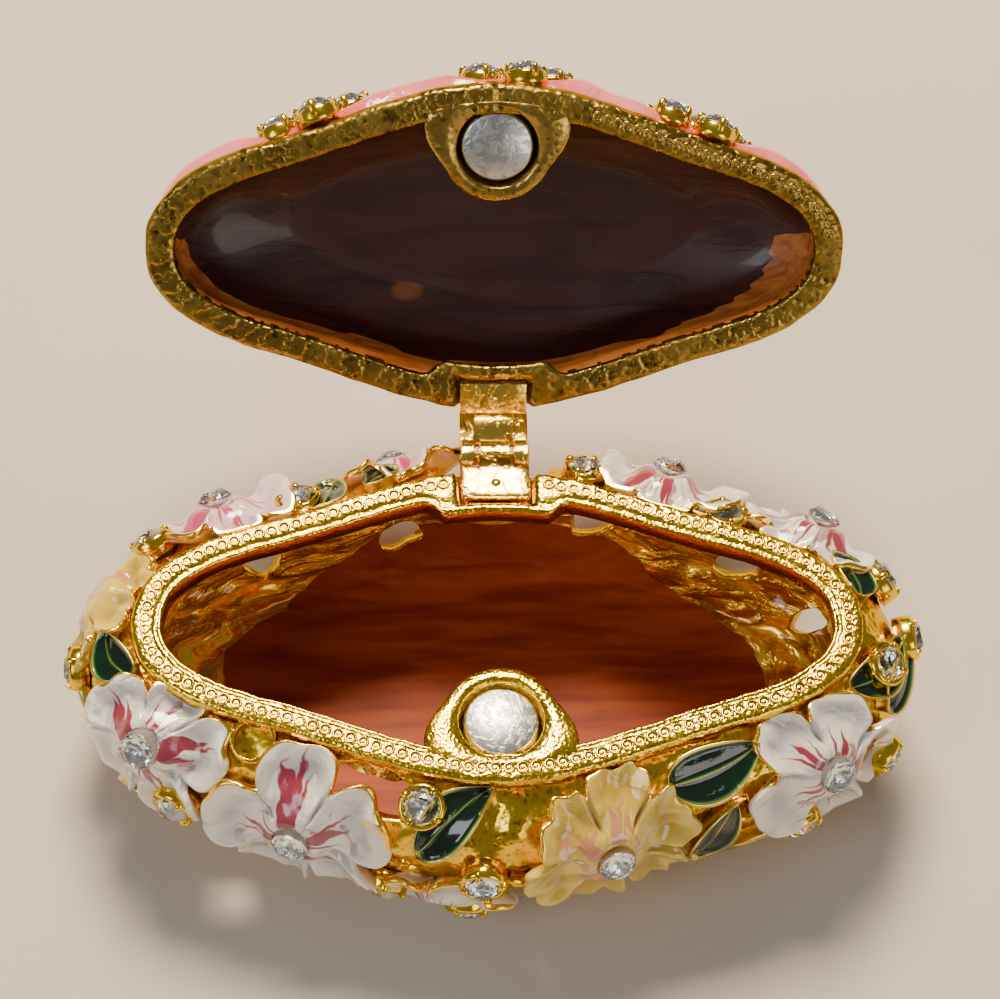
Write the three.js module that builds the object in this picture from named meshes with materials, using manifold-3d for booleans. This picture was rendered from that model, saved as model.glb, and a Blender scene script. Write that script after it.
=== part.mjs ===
// A small jewelled trinket box: an openwork basket of cast flowers and leaves, with a domed lid
// on a brass hinge at the back. The lid stands open at its stop.
// Millimetres, +Z up. The origin is the centre of the flat underside, +X runs along the box
// and the front, with the magnet catch, looks along -Y.
import * as THREE from 'three';
import { mergeVertices } from 'three/addons/utils/BufferGeometryUtils.js';
import Module from 'manifold-3d';

const wasm = await Module();
wasm.setup();

// Clearances.
const FIT_GAP = 0.3;
const LID_GAP = 0.4;
const CUT_OVERRUN = 1;
const JOIN_OVERLAP = 1;
const FOOT_GAP = 0.5;

// The mouth of the basket, an oval with a soft swell at the front and the back.
const BODY_HEIGHT = 19;
const MOUTH_LENGTH = 60;
const MOUTH_DEPTH = 23;
const MOUTH_SWELL = 3.2;
const SWELL_REACH = 20;
const OVAL_POWER = 2.3;
const RIM_WIDTH = 2.5;
const RIM_HEIGHT = 1.8;
const RIM_EASE = 0.4;

// The belly under the rim.
const OVERHANG = 4.9;
const WALL = 1.5;
const FLOOR = 3;
const RING_STEPS = 26;

// The belly's profile from the foot up: height as a share of the belly's own height, how far
// the ends and the sides stand outside the mouth as shares of the overhang, and the swell's share.
const PROFILE = [
  [0.000, -1.060, -0.060, 0.50],
  [0.058, -0.780, 0.140, 0.53],
  [0.174, -0.240, 0.470, 0.63],
  [0.337, 0.370, 0.800, 0.75],
  [0.512, 0.740, 1.000, 0.84],
  [0.686, 0.800, 1.000, 0.91],
  [0.849, 0.610, 0.780, 0.94],
  [0.948, 0.290, 0.350, 0.97],
  [1.000, -0.160, -0.160, 0.97],
];
const OUTSIDE_SHARES = [0, 0.12, 0.34, 0.62, 0.86, 1];
const INSIDE_SHARES = [0.4, 0.65, 0.87];
const FLOOR_SHARE = 0.22;
const WIDEST_SHARE = 0.6;

// The lid, in its closed position.
const LID_SHARE = 0.99;
const LID_RIM_HEIGHT = 1.6;
const LID_HEIGHT = 11;
const LID_WALL = 1.5;
const LID_PROFILE = [
  [0.00, 0.965, 0.95],
  [0.30, 0.975, 0.945],
  [0.65, 0.870, 0.82],
  [0.90, 0.640, 0.56],
  [1.00, 0.340, 0.26],
];

// The magnet catch at the front.
const MAGNET_RADIUS = 3;
const MAGNET_HEIGHT = 2;
const MAGNET_FROM_FRONT = 5.5;
const MAGNET_RECESS = 0.35;
const MAGNET_GAP = 0.45;
const LUG_RADIUS = 4.8;
const LUG_HEIGHT = 4;

// The hinge at the back.
const HINGE_BEHIND = 2.95;
const HINGE_BELOW = 3;
const OPEN_ANGLE = 123;
const BARREL_RADIUS = 1.7;
const PIN_RADIUS = 0.55;
const MIDDLE_KNUCKLE = 2.7;
const OUTER_KNUCKLE = 1.3;
const LEAF_WIDTH = 5.8;
const LEAF_THICKNESS = 0.8;
const LEAF_LENGTH = 2.6;
const LEAF_REACH = 0.5;
const STRAP_DEPTH = 0.3;
const STRAP_SHARE = 0.5;
const NOTCH_SURROUND = 1.3;
const NOTCH_SETBACK = 0.6;
const BAY_HEIGHT = 7.2;
const BAY_MARGIN = 1.1;
const BAY_GAP = 0.5;

// The stones.
const STONE_RADIUS = 1.5;
const STONE_HEIGHT = 0.95;
const TABLE_SHARE = 0.56;
const COLLAR_WIDTH = 0.5;
const COLLAR_RADIUS = STONE_RADIUS + COLLAR_WIDTH;
const SEAT_DEPTH = 0.9;
const LID_COLLAR_HEIGHT = 0.8;
const ROSETTE_STONES = 5;
const ROSETTE_SPACING = 3.35;
const BOSS_SPREAD = 2.2;
const BOSS_HEIGHT = 4;

// Relief of the petals and leaves above the belly.
const RELIEF = 1.35;
const ROOT_SINK = 0.7;

// Sides of the round pieces.
const STONE_SIDES = 6;
const PIN_SIDES = 8;
const BARREL_SIDES = 12;
const BOSS_SIDES = 12;
const MAGNET_SIDES = 18;

const rimBack = MOUTH_DEPTH / 2 + MOUTH_SWELL;
const hingeY = rimBack + HINGE_BEHIND;
const hingeZ = BODY_HEIGHT - HINGE_BELOW;
const magnetY = -rimBack + MAGNET_FROM_FRONT;
const lidBase = BODY_HEIGHT + LID_GAP;
const bellyHeight = BODY_HEIGHT - RIM_HEIGHT;
const knuckleReach = MIDDLE_KNUCKLE / 2 + FIT_GAP + OUTER_KNUCKLE;
const lidLength = (MOUTH_LENGTH / 2) * LID_SHARE;
const lidDepth = (MOUTH_DEPTH / 2) * LID_SHARE;
const lidSwell = MOUTH_SWELL * LID_SHARE;

const enamel = (color, roughness = 0.25) => (
  new THREE.MeshStandardMaterial({ color, roughness, metalness: 0 }));
const metal = (color, roughness) => (
  new THREE.MeshStandardMaterial({ color, roughness, metalness: 1 }));
const castGold = metal(0xd9a83a, 0.35);
const polishedBrass = metal(0xe0b24c, 0.25);
const magnetSteel = metal(0xb9bcc0, 0.4);
const pinkEnamel = enamel(0xf2a3b4);
const crystal = new THREE.MeshStandardMaterial({ color: 0xe8eef2, roughness: 0.05, metalness: 0.2 });

// Points and solids.

/** A point of the oval, by angle, for a half length, a half depth and a swell. */
function ovalPoint(angle, halfLength, halfDepth, swell, z) {
  const c = Math.cos(angle);
  const s = Math.sin(angle);
  const x = halfLength * Math.sign(c) * Math.abs(c) ** (2 / OVAL_POWER);
  const y = halfDepth * Math.sign(s) * Math.abs(s) ** (2 / OVAL_POWER);
  const wave = Math.abs(x) < SWELL_REACH ? 1 + Math.cos((Math.PI * x) / SWELL_REACH) : 0;
  return new THREE.Vector3(x, y + (Math.sign(s) * swell * wave) / 2, z);
}

/** One ring of points round the oval. */
function ovalRing(halfLength, halfDepth, swell, z) {
  const ring = [];
  for (let i = 0; i < RING_STEPS; i += 1) {
    ring.push(ovalPoint((2 * Math.PI * i) / RING_STEPS, halfLength, halfDepth, swell, z));
  }
  return ring;
}

/** A closed mesh through rings of equal count, listed from the bottom up, capped at both ends. */
function loft(rings) {
  const count = rings[0].length;
  const positions = [];
  const indices = [];
  const centre = (ring) => ring.reduce((sum, p) => sum.add(p), new THREE.Vector3()).divideScalar(count);
  rings.forEach((ring) => ring.forEach((p) => positions.push(p.x, p.y, p.z)));
  for (let r = 0; r + 1 < rings.length; r += 1) {
    for (let i = 0; i < count; i += 1) {
      const a = r * count + i;
      const b = r * count + ((i + 1) % count);
      indices.push(a, b, b + count, a, b + count, a + count);
    }
  }
  const last = (rings.length - 1) * count;
  const bottom = rings.length * count;
  positions.push(...centre(rings[0]).toArray(), ...centre(rings.at(-1)).toArray());
  for (let i = 0; i < count; i += 1) {
    const next = (i + 1) % count;
    indices.push(bottom, next, i, bottom + 1, last + i, last + next);
  }
  const geometry = new THREE.BufferGeometry();
  geometry.setAttribute('position', new THREE.Float32BufferAttribute(positions, 3));
  geometry.setIndex(indices);
  return geometry;
}

/** A solid for joining and cutting, from a closed mesh. */
function solid(geometry, matrix = new THREE.Matrix4()) {
  const plain = geometry.clone();
  plain.deleteAttribute('normal');
  plain.deleteAttribute('uv');
  const merged = mergeVertices(plain.applyMatrix4(matrix), 1e-5);
  return new wasm.Manifold(new wasm.Mesh({
    numProp: 3,
    vertProperties: new Float32Array(merged.attributes.position.array),
    triVerts: new Uint32Array(merged.index.array),
  }));
}

/** The mesh of a solid. */
function geometryOf(body) {
  const mesh = body.getMesh();
  const geometry = new THREE.BufferGeometry();
  geometry.setAttribute('position', new THREE.BufferAttribute(new Float32Array(mesh.vertProperties), 3));
  geometry.setIndex(new THREE.BufferAttribute(new Uint32Array(mesh.triVerts), 1));
  geometry.computeVertexNormals();
  return geometry;
}

/** A solid with the sealed pockets between its overlapping pieces filled. */
function withoutPockets(body) {
  return wasm.Manifold.compose(body.decompose().filter((piece) => piece.volume() > 0));
}

const moved = (x, y, z) => new THREE.Matrix4().makeTranslation(x, y, z);

/** A block between a low and a high value on each axis. */
function block([x0, x1], [y0, y1], [z0, z1]) {
  return solid(
    new THREE.BoxGeometry(x1 - x0, y1 - y0, z1 - z0),
    moved((x0 + x1) / 2, (y0 + y1) / 2, (z0 + z1) / 2),
  );
}

/** The two ends of a span centred on the middle plane. */
const span = (width) => [-width / 2, width / 2];

/** A low and a high value from two values in any order. */
const between = (a, b) => [Math.min(a, b), Math.max(a, b)];

/** An upright disc standing on z, in the frame of a matrix. */
function disc(radiusLow, radiusHigh, height, z, sides, frame = new THREE.Matrix4()) {
  const upright = new THREE.Matrix4().makeRotationX(Math.PI / 2);
  const place = upright.premultiply(moved(0, 0, z + height / 2)).premultiply(frame);
  return solid(new THREE.CylinderGeometry(radiusHigh, radiusLow, height, sides), place);
}

/** A rod along X centred at x. */
function rod(radius, length, x, y, z, sides) {
  const along = new THREE.Matrix4().makeRotationZ(Math.PI / 2).premultiply(moved(x, y, z));
  return solid(new THREE.CylinderGeometry(radius, radius, length, sides), along);
}

// The belly as a surface.

/** The belly's oval at a share of its profile, between its rows by a smooth curve. */
function profileAt(share) {
  const place = THREE.MathUtils.clamp(share, 0, 1) * (PROFILE.length - 1);
  const i = Math.min(Math.floor(place), PROFILE.length - 2);
  const t = place - i;
  const row = (k) => PROFILE[THREE.MathUtils.clamp(k, 0, PROFILE.length - 1)];
  const [p0, p1, p2, p3] = [row(i - 1), row(i), row(i + 1), row(i + 2)];
  const value = p1.map((_, k) => 0.5 * (2 * p1[k] + (p2[k] - p0[k]) * t
    + (2 * p0[k] - 5 * p1[k] + 4 * p2[k] - p3[k]) * t ** 2
    + (3 * p1[k] - p0[k] - 3 * p2[k] + p3[k]) * t ** 3));
  return {
    z: value[0] * bellyHeight,
    halfLength: MOUTH_LENGTH / 2 + value[1] * OVERHANG,
    halfDepth: MOUTH_DEPTH / 2 + value[2] * OVERHANG,
    swell: value[3] * MOUTH_SWELL,
  };
}

/** A point of the belly by angle and profile share, raised by lift along the surface normal. */
function bellyAt(angle, share, lift = 0) {
  const point = (a, s) => {
    const row = profileAt(s);
    return ovalPoint(a, row.halfLength, row.halfDepth, row.swell, row.z);
  };
  const here = point(angle, share);
  if (lift === 0) return here;
  const step = 0.01;
  const round = point(angle + step, share).sub(point(angle - step, share));
  const up = point(angle, Math.min(share + step, 1)).sub(point(angle, Math.max(share - step, 0)));
  return here.addScaledVector(round.cross(up).normalize(), lift);
}

/** Running lengths along a line of points, with a look-up from length to the line's parameter. */
function lengthTable(pointAt, from, to, steps) {
  const marks = [[0, from]];
  let before = pointAt(from);
  for (let i = 1; i <= steps; i += 1) {
    const parameter = from + ((to - from) * i) / steps;
    const here = pointAt(parameter);
    marks.push([marks.at(-1)[0] + here.distanceTo(before), parameter]);
    before = here;
  }
  const total = marks.at(-1)[0];
  const find = (length) => {
    const next = Math.max(1, marks.findIndex(([mark]) => mark >= length));
    const [l0, p0] = marks[next - 1];
    const [l1, p1] = marks[next];
    return p0 + ((p1 - p0) * (length - l0)) / (l1 - l0);
  };
  return { total, find };
}

const roundTable = lengthTable((a) => bellyAt(a, WIDEST_SHARE), -Math.PI / 2, (3 * Math.PI) / 2, 720);
const downTable = lengthTable((s) => bellyAt(-Math.PI / 4, s), 1, 0, 160);
const girth = roundTable.total;
const drop = downTable.total;

/** A point of the belly by lengths round from the front middle and down, raised by lift. */
function onBelly(u, v, lift = 0) {
  const round = ((u % girth) + girth) % girth;
  const down = THREE.MathUtils.clamp(v, 0, drop - ROOT_SINK);
  const point = bellyAt(roundTable.find(round), downTable.find(down), lift);
  point.z = THREE.MathUtils.clamp(point.z, FOOT_GAP, BODY_HEIGHT - FIT_GAP);
  return point;
}

/** Lays flat points, along and across a direction, on the belly round a spot. */
function layer({ round, down, turn = 0 }) {
  return (along, across, lift) => onBelly(
    round * girth + along * Math.cos(turn) - across * Math.sin(turn),
    down * drop + along * Math.sin(turn) + across * Math.cos(turn),
    lift,
  );
}

/** The frame on the belly at a spot: Z along the normal, its origin raised by lift. */
function bellyFrame({ round, down }, lift = 0) {
  const foot = onBelly(round * girth, down * drop);
  const normal = onBelly(round * girth, down * drop, 1).sub(foot).normalize();
  const turn = new THREE.Quaternion().setFromUnitVectors(new THREE.Vector3(0, 0, 1), normal);
  return new THREE.Matrix4().compose(foot.addScaledVector(normal, lift), turn, new THREE.Vector3(1, 1, 1));
}

// Relief: petals, leaves and openings.

/** A leaf's stations: share of its length, of its half width, lifts of its middle and its edges. */
const LEAF = [[0, 0.35, 0.55, 0.6], [0.5, 1, 0.55, 0.95], [1, 0.06, 0.95, 1]];

/** A leaf lying on the belly, its root at its spot and pointing by its turn. */
function leafBlade(leaf) {
  const place = layer(leaf);
  return solid(loft(LEAF.map(([share, spread, middle, edge]) => {
    const along = share * leaf.length * girth;
    const half = (spread * leaf.width * girth) / 2;
    return [
      place(along, -half, edge * RELIEF),
      place(along, 0, middle * RELIEF),
      place(along, half, edge * RELIEF),
      place(along, half, -ROOT_SINK),
      place(along, -half, -ROOT_SINK),
    ];
  })));
}

/** Points of one petal's outline: share of the petal's turn, reach and edge lift as shares. */
const PETAL = [[0, 0.72, 0.75], [0.32, 1.01, 1.05], [0.68, 1.01, 1.05]];

/** How far and how high the even and the odd petals stand, as shares. */
const PETAL_CHANGE = [[1.03, 1.08], [0.95, 0.9]];

/** A flower's rings from its root to its heart: share of the reach, of the collar and of the lift. */
const FLOWER_RINGS = [
  { reach: 0.97, collar: 0 },
  { reach: 1, collar: 0, lift: 0, edge: 1 },
  { reach: 0.2, collar: 1, lift: 0.35, edge: 0.25 },
];

/** A flower on the belly, cast in one with its petals cupped round a raised heart. */
function flower(spot) {
  const place = layer(spot);
  const spots = [];
  for (let i = 0; i < spot.petals; i += 1) {
    const [longer, higher] = PETAL_CHANGE[i % 2];
    PETAL.forEach(([share, reach, edge]) => spots.push({
      angle: (-2 * Math.PI * (i + share)) / spot.petals,
      reach: reach * longer,
      edge: edge * higher,
    }));
  }
  const size = spot.radius * girth;
  const ring = ({ reach, collar }, lift) => spots.map((p) => {
    const out = collar * COLLAR_RADIUS + reach * size * p.reach;
    return place(out * Math.cos(p.angle), out * Math.sin(p.angle), lift(p));
  });
  const [root, rim, heart] = FLOWER_RINGS;
  const height = spot.rise * RELIEF;
  return solid(loft([
    ring(root, () => -ROOT_SINK),
    ring(rim, (p) => p.edge * height),
    ring(heart, (p) => (heart.lift + heart.edge * p.reach) * height),
    ring({ reach: 0, collar: 1 }, () => spot.top * RELIEF),
  ]));
}

/** The outline of an opening, as shares of its length and its width. */
const OPENING = [[-0.5, 0], [-0.25, 0.5], [0.25, 0.5], [0.5, 0], [0.25, -0.5], [-0.25, -0.5]];

/** A hole through the belly's wall. */
function opening(hole) {
  const place = layer(hole);
  const ring = (lift) => OPENING.map(([along, across]) => (
    place(along * hole.length * girth, across * hole.width * girth, lift)));
  return solid(loft([ring(-2 * WALL - CUT_OVERRUN), ring(CUT_OVERRUN)]));
}

// Where the flowers, leaves, openings and stones are. Round, radius, length and width are shares
// of the belly's girth, down is a share of its drop, and rise and top are shares of the relief.
const FLOWERS = [
  { round: -0.1839, down: 0.231, radius: 0.038, petals: 5, turn: 0.3, rise: 1, top: 1.19 },
  { round: -0.1008, down: 0.373, radius: 0.0451, petals: 5, turn: 0.15, rise: 1.1, top: 1.26 },
  { round: 0.0534, down: 0.329, radius: 0.0403, petals: 6, turn: 0.2, rise: 1, top: 1.19 },
  { round: 0.1696, down: 0.284, radius: 0.0403, petals: 5, turn: -0.3, rise: 1.1, top: 1.19 },
  { round: 0.3262, down: 0.213, radius: 0.038, petals: 5, turn: 0.5, rise: 1.5, top: 1.7 },
  { round: 0.4093, down: 0.204, radius: 0.038, petals: 5, turn: 0.1, rise: 1.6, top: 1.8 },
  { round: -0.3529, down: 0.213, radius: 0.0344, petals: 5, turn: 0.4, rise: 1.4, top: 1.55 },
  { round: -0.4508, down: 0.356, radius: 0.0332, petals: 5, turn: 0.2, rise: 1.2, top: 1.26 },
];
// Flowers with a plain heart.
const BUDS = [
  { round: -0.0267, down: 0.649, radius: 0.0308, petals: 5, turn: 0.6, rise: 1, top: 1 },
  { round: -0.2758, down: 0.249, radius: 0.0332, petals: 5, turn: 0.9, rise: 1, top: 1 },
];
const LEAVES = [
  { round: -0.0391, down: 0.276, turn: -0.78, length: 0.0474, width: 0.0178 },
  { round: 0.0866, down: 0.142, turn: -0.12, length: 0.051, width: 0.019 },
  { round: 0.1008, down: 0.569, turn: -1.2, length: 0.0439, width: 0.0178 },
  { round: 0.1222, down: 0.613, turn: -0.62, length: 0.0415, width: 0.0166 },
  { round: -0.2171, down: 0.08, turn: 2.95, length: 0.0332, width: 0.0154 },
  { round: 0.204, down: 0.071, turn: 0.3, length: 0.0474, width: 0.0166 },
  { round: 0.2112, down: 0.24, turn: 0.12, length: 0.0486, width: 0.0166 },
  { round: 0.274, down: 0.071, turn: 0.1, length: 0.0332, width: 0.0154 },
  { round: -0.414, down: 0.213, turn: -0.9, length: 0.032, width: 0.0166 },
  { round: -0.4484, down: 0.16, turn: -0.5, length: 0.0237, width: 0.013 },
  { round: 0.3654, down: 0.196, turn: -0.8, length: 0.0297, width: 0.0154 },
  { round: -0.172, down: 0.542, turn: 2.7, length: 0.0415, width: 0.0178 },
  { round: -0.2349, down: 0.569, turn: -2.6, length: 0.038, width: 0.0166 },
  { round: 0.2183, down: 0.56, turn: 0.5, length: 0.0415, width: 0.0178 },
];
const OPENINGS = [
  { round: -0.0688, down: 0.12, turn: -0.05, length: 0.0558, width: 0.0261 },
  { round: -0.051, down: 0.427, turn: 0.9, length: 0.0261, width: 0.0178 },
  { round: 0.0095, down: 0.418, turn: 1.4, length: 0.0237, width: 0.0166 },
  { round: 0.1163, down: 0.338, turn: 0.4, length: 0.0249, width: 0.0178 },
  { round: 0.0202, down: 0.613, turn: 0.3, length: 0.0261, width: 0.019 },
  { round: -0.1483, down: 0.622, turn: 0.5, length: 0.0237, width: 0.0178 },
  { round: -0.2301, down: 0.382, turn: 1.4, length: 0.0261, width: 0.0178 },
  { round: 0.2432, down: 0.471, turn: 0.2, length: 0.0261, width: 0.0178 },
  { round: 0.3618, down: 0.569, turn: 0.2, length: 0.0261, width: 0.0178 },
  { round: 0.4448, down: 0.551, turn: 0.6, length: 0.0249, width: 0.019 },
  { round: -0.3707, down: 0.56, turn: 1, length: 0.0249, width: 0.0202 },
  { round: -0.4472, down: 0.631, turn: 0.2, length: 0.0261, width: 0.019 },
  { round: 0.3055, down: 0.667, turn: 1.4, length: 0.0214, width: 0.0166 },
];
const COLLARED_STONES = [
  { round: -0.0403, down: 0.12, top: 0.81 },
  { round: -0.0083, down: 0.364, top: 0.85 },
  { round: -0.0569, down: 0.578, top: 0.85 },
  { round: -0.0154, down: 0.684, top: 1.26 },
  { round: -0.1613, down: 0.409, top: 0.89 },
  { round: -0.2491, down: 0.391, top: 0.93 },
  { round: -0.2942, down: 0.462, top: 0.85 },
  { round: -0.3155, down: 0.222, top: 0.93 },
  { round: -0.3915, down: 0.116, top: 0.89 },
  { round: 0.1566, down: 0.551, top: 0.89 },
  { round: 0.2064, down: 0.471, top: 0.89 },
  { round: 0.2289, down: 0.133, top: 0.85 },
  { round: 0.2574, down: 0.302, top: 1.04 },
  { round: 0.2871, down: 0.249, top: 0.93 },
  { round: 0.3701, down: 0.084, top: 0.85 },
  { round: 0.452, down: 0.116, top: 0.85 },
];
// A setting that has lost its stone.
const EMPTY_SETTING = { round: -0.1352, down: 0.071, top: 0.89 };
const BODY_STONES = [...FLOWERS, ...COLLARED_STONES];

// The basket.

/** The collar that carries a stone, standing on the belly. */
function collar(spot) {
  return disc(COLLAR_RADIUS, COLLAR_RADIUS, spot.top * RELIEF + ROOT_SINK, -ROOT_SINK,
    STONE_SIDES, bellyFrame(spot));
}

/** The room round a stone, kept clear of the petals and leaves beside it. */
function stoneRoom(spot) {
  const radius = STONE_RADIUS + FIT_GAP;
  return disc(radius, radius, STONE_HEIGHT + 2 * CUT_OVERRUN, spot.top * RELIEF + FIT_GAP / 2,
    STONE_SIDES, bellyFrame(spot));
}

/** The hollow of a setting that holds no stone. */
function emptySeat(spot) {
  return disc(STONE_RADIUS, STONE_RADIUS, SEAT_DEPTH + CUT_OVERRUN, spot.top * RELIEF - SEAT_DEPTH,
    STONE_SIDES, bellyFrame(spot));
}

/** The lug that carries a magnet, with its pocket, below or above a level. */
function magnetLug(level, side) {
  const centre = moved(0, magnetY, 0);
  const depth = MAGNET_RECESS + MAGNET_HEIGHT + FIT_GAP;
  const [lugLow] = between(level, level + side * LUG_HEIGHT);
  const [pocketLow] = between(level - side * CUT_OVERRUN, level + side * depth);
  const pocketRadius = MAGNET_RADIUS + MAGNET_GAP;
  return {
    lug: disc(LUG_RADIUS, LUG_RADIUS, LUG_HEIGHT, lugLow, MAGNET_SIDES, centre),
    pocket: disc(pocketRadius, pocketRadius, depth + CUT_OVERRUN, pocketLow, MAGNET_SIDES, centre),
  };
}

/** The thickened piece of rim round a hinge leaf, and the notch that the leaf lies in. */
function hingeNotch(level, side) {
  const notchFront = rimBack - LEAF_LENGTH - FIT_GAP;
  const notchWidth = LEAF_WIDTH + 2 * FIT_GAP;
  const notchDepth = LEAF_THICKNESS + 2 * FIT_GAP;
  return {
    surround: block(
      span(notchWidth + 2 * NOTCH_SURROUND),
      [notchFront - NOTCH_SURROUND, rimBack - NOTCH_SETBACK],
      between(level, level + side * (notchDepth + NOTCH_SURROUND)),
    ),
    notch: block(
      span(notchWidth),
      [notchFront, notchFront + rimBack],
      between(level - side * CUT_OVERRUN, level + side * notchDepth),
    ),
  };
}

/** The bay that the knuckles turn in, and the block of the wall behind it. */
function hingeBay() {
  const width = 2 * (knuckleReach + BAY_MARGIN);
  const front = hingeY - BARREL_RADIUS - BAY_GAP;
  const low = BODY_HEIGHT - BAY_HEIGHT;
  return {
    bay: block(span(width), [front, front + rimBack], [low, BODY_HEIGHT + CUT_OVERRUN]),
    backing: block(span(width + 2 * WALL), [front - WALL, front + rimBack], [low - WALL, bellyHeight]),
  };
}

/** The whole basket, cast in one. */
function makeBasket() {
  const beltAt = (share, lift) => ovalRing(1, 1, 0, 0).map((_, i) => (
    bellyAt((2 * Math.PI * i) / RING_STEPS, share, lift)));
  const outline = (inset, z) => (
    ovalRing(MOUTH_LENGTH / 2 - inset, MOUTH_DEPTH / 2 - inset, MOUTH_SWELL, z));
  const neck = profileAt(1);
  const neckTop = ovalRing(neck.halfLength, neck.halfDepth, neck.swell, BODY_HEIGHT - RIM_HEIGHT / 2);
  const belly = solid(loft([...OUTSIDE_SHARES.map((share) => beltAt(share, 0)), neckTop]));
  const rim = solid(loft([
    outline(RIM_EASE, bellyHeight),
    outline(0, bellyHeight + RIM_EASE),
    outline(0, BODY_HEIGHT),
  ]));

  const floorRow = profileAt(FLOOR_SHARE);
  const floorRing = ovalRing(
    floorRow.halfLength - WALL, floorRow.halfDepth - WALL, floorRow.swell, FLOOR);
  const cavity = solid(loft([
    floorRing,
    ...INSIDE_SHARES.map((share) => beltAt(share, -WALL)),
    outline(RIM_WIDTH, bellyHeight - JOIN_OVERLAP),
    outline(RIM_WIDTH, BODY_HEIGHT + CUT_OVERRUN),
  ]));

  const collars = [...COLLARED_STONES, EMPTY_SETTING];
  const magnet = magnetLug(BODY_HEIGHT, -1);
  const hinge = hingeNotch(BODY_HEIGHT, -1);
  const { bay, backing } = hingeBay();
  const shell = wasm.Manifold.union([belly, rim]).subtract(cavity)
    .add(backing.intersect(belly))
    .subtract(wasm.Manifold.union(OPENINGS.map(opening)));
  const relief = wasm.Manifold.union([
    ...[...FLOWERS, ...BUDS].map(flower),
    ...LEAVES.map(leafBlade),
    ...collars.map(collar),
  ]).subtract(wasm.Manifold.union(COLLARED_STONES.map(stoneRoom)));
  return withoutPockets(wasm.Manifold.union([shell, relief, magnet.lug, hinge.surround])
    .subtract(wasm.Manifold.union([emptySeat(EMPTY_SETTING), magnet.pocket, hinge.notch, bay])));
}

// The lid.

// Rosettes and single settings: places as shares of the lid's half length, of its half depth
// with the swell, and of its height, their lean to the front and their turn, in degrees.
const ROSETTES = [
  { along: -0.525, across: -0.671, up: 0.52, lean: 64, turn: -22 },
  { along: 0.047, across: -0.912, up: 0.555, lean: 64, turn: 0 },
  { along: 0.576, across: -0.636, up: 0.52, lean: 64, turn: 22 },
];
const LID_SINGLES = [
  { along: -0.274, across: 0.433, up: 0.935, lean: -24, turn: -8 },
  { along: 0.342, across: 0.419, up: 0.925, lean: -24, turn: 10 },
];

/** The frame of a rosette or a single setting, on the closed lid. */
function lidFrame({ along, across, up, lean, turn }) {
  const facing = new THREE.Quaternion().setFromEuler(new THREE.Euler(
    THREE.MathUtils.degToRad(lean), 0, THREE.MathUtils.degToRad(turn), 'ZXY',
  ));
  const spot = new THREE.Vector3(
    along * lidLength, across * (lidDepth + lidSwell), lidBase + up * LID_HEIGHT);
  return new THREE.Matrix4().compose(spot, facing, new THREE.Vector3(1, 1, 1));
}

/** The whole lid, closed. */
function makeLid() {
  const domeHeight = LID_HEIGHT - LID_RIM_HEIGHT;
  const rimRing = (inset, z) => ovalRing(lidLength - inset, lidDepth - inset, lidSwell, lidBase + z);
  const domeRing = ([up, along, across], inset) => ovalRing(
    lidLength * along - inset,
    lidDepth * across - inset,
    lidSwell * across,
    lidBase + LID_RIM_HEIGHT + up * (domeHeight - inset),
  );
  const rim = solid(loft([rimRing(0, 0), rimRing(0, LID_RIM_HEIGHT)]));
  const dome = solid(loft([
    rimRing(JOIN_OVERLAP, LID_RIM_HEIGHT / 2),
    ...LID_PROFILE.map((row) => domeRing(row, 0)),
  ]));
  const dishRadius = ROSETTE_SPACING + STONE_RADIUS + COLLAR_WIDTH;
  const under = (level) => block(span(2 * MOUTH_LENGTH), span(2 * MOUTH_LENGTH), [0, level]);
  const bosses = wasm.Manifold.union(ROSETTES.map((rosette) => disc(dishRadius + BOSS_SPREAD,
    dishRadius, BOSS_HEIGHT, -BOSS_HEIGHT, BOSS_SIDES, lidFrame(rosette))))
    .subtract(under(lidBase + LID_RIM_HEIGHT));
  const rooms = [
    ...ROSETTES.map((rosette) => disc(dishRadius, dishRadius, STONE_HEIGHT + 2 * CUT_OVERRUN, 0,
      BOSS_SIDES, lidFrame(rosette))),
    ...LID_SINGLES.map((place) => disc(COLLAR_RADIUS, COLLAR_RADIUS, STONE_HEIGHT + 2 * CUT_OVERRUN,
      LID_COLLAR_HEIGHT, STONE_SIDES, lidFrame(place))),
  ];
  const cavity = solid(loft([
    rimRing(RIM_WIDTH, -CUT_OVERRUN),
    rimRing(RIM_WIDTH, LID_RIM_HEIGHT),
    ...LID_PROFILE.slice(1, -1).map((row) => domeRing(row, LID_WALL)),
  ]));
  const singles = LID_SINGLES.map((place) => disc(COLLAR_RADIUS, COLLAR_RADIUS,
    2 * LID_COLLAR_HEIGHT, -LID_COLLAR_HEIGHT, STONE_SIDES, lidFrame(place)));
  const magnet = magnetLug(lidBase, 1);
  const hinge = hingeNotch(lidBase, 1);
  return withoutPockets(wasm.Manifold.union([rim, dome, bosses])
    .subtract(cavity)
    .add(wasm.Manifold.union([...singles, magnet.lug, hinge.surround]))
    .subtract(wasm.Manifold.union([...rooms, magnet.pocket, hinge.notch, under(lidBase)])));
}

// The hinge.

/** The low and the high face of a hinge leaf on the lid (1) or on the basket (-1), when closed. */
function leafFaces(side) {
  const level = side > 0 ? lidBase : BODY_HEIGHT;
  return between(level + side * FIT_GAP, level + side * (FIT_GAP + LEAF_THICKNESS));
}

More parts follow.
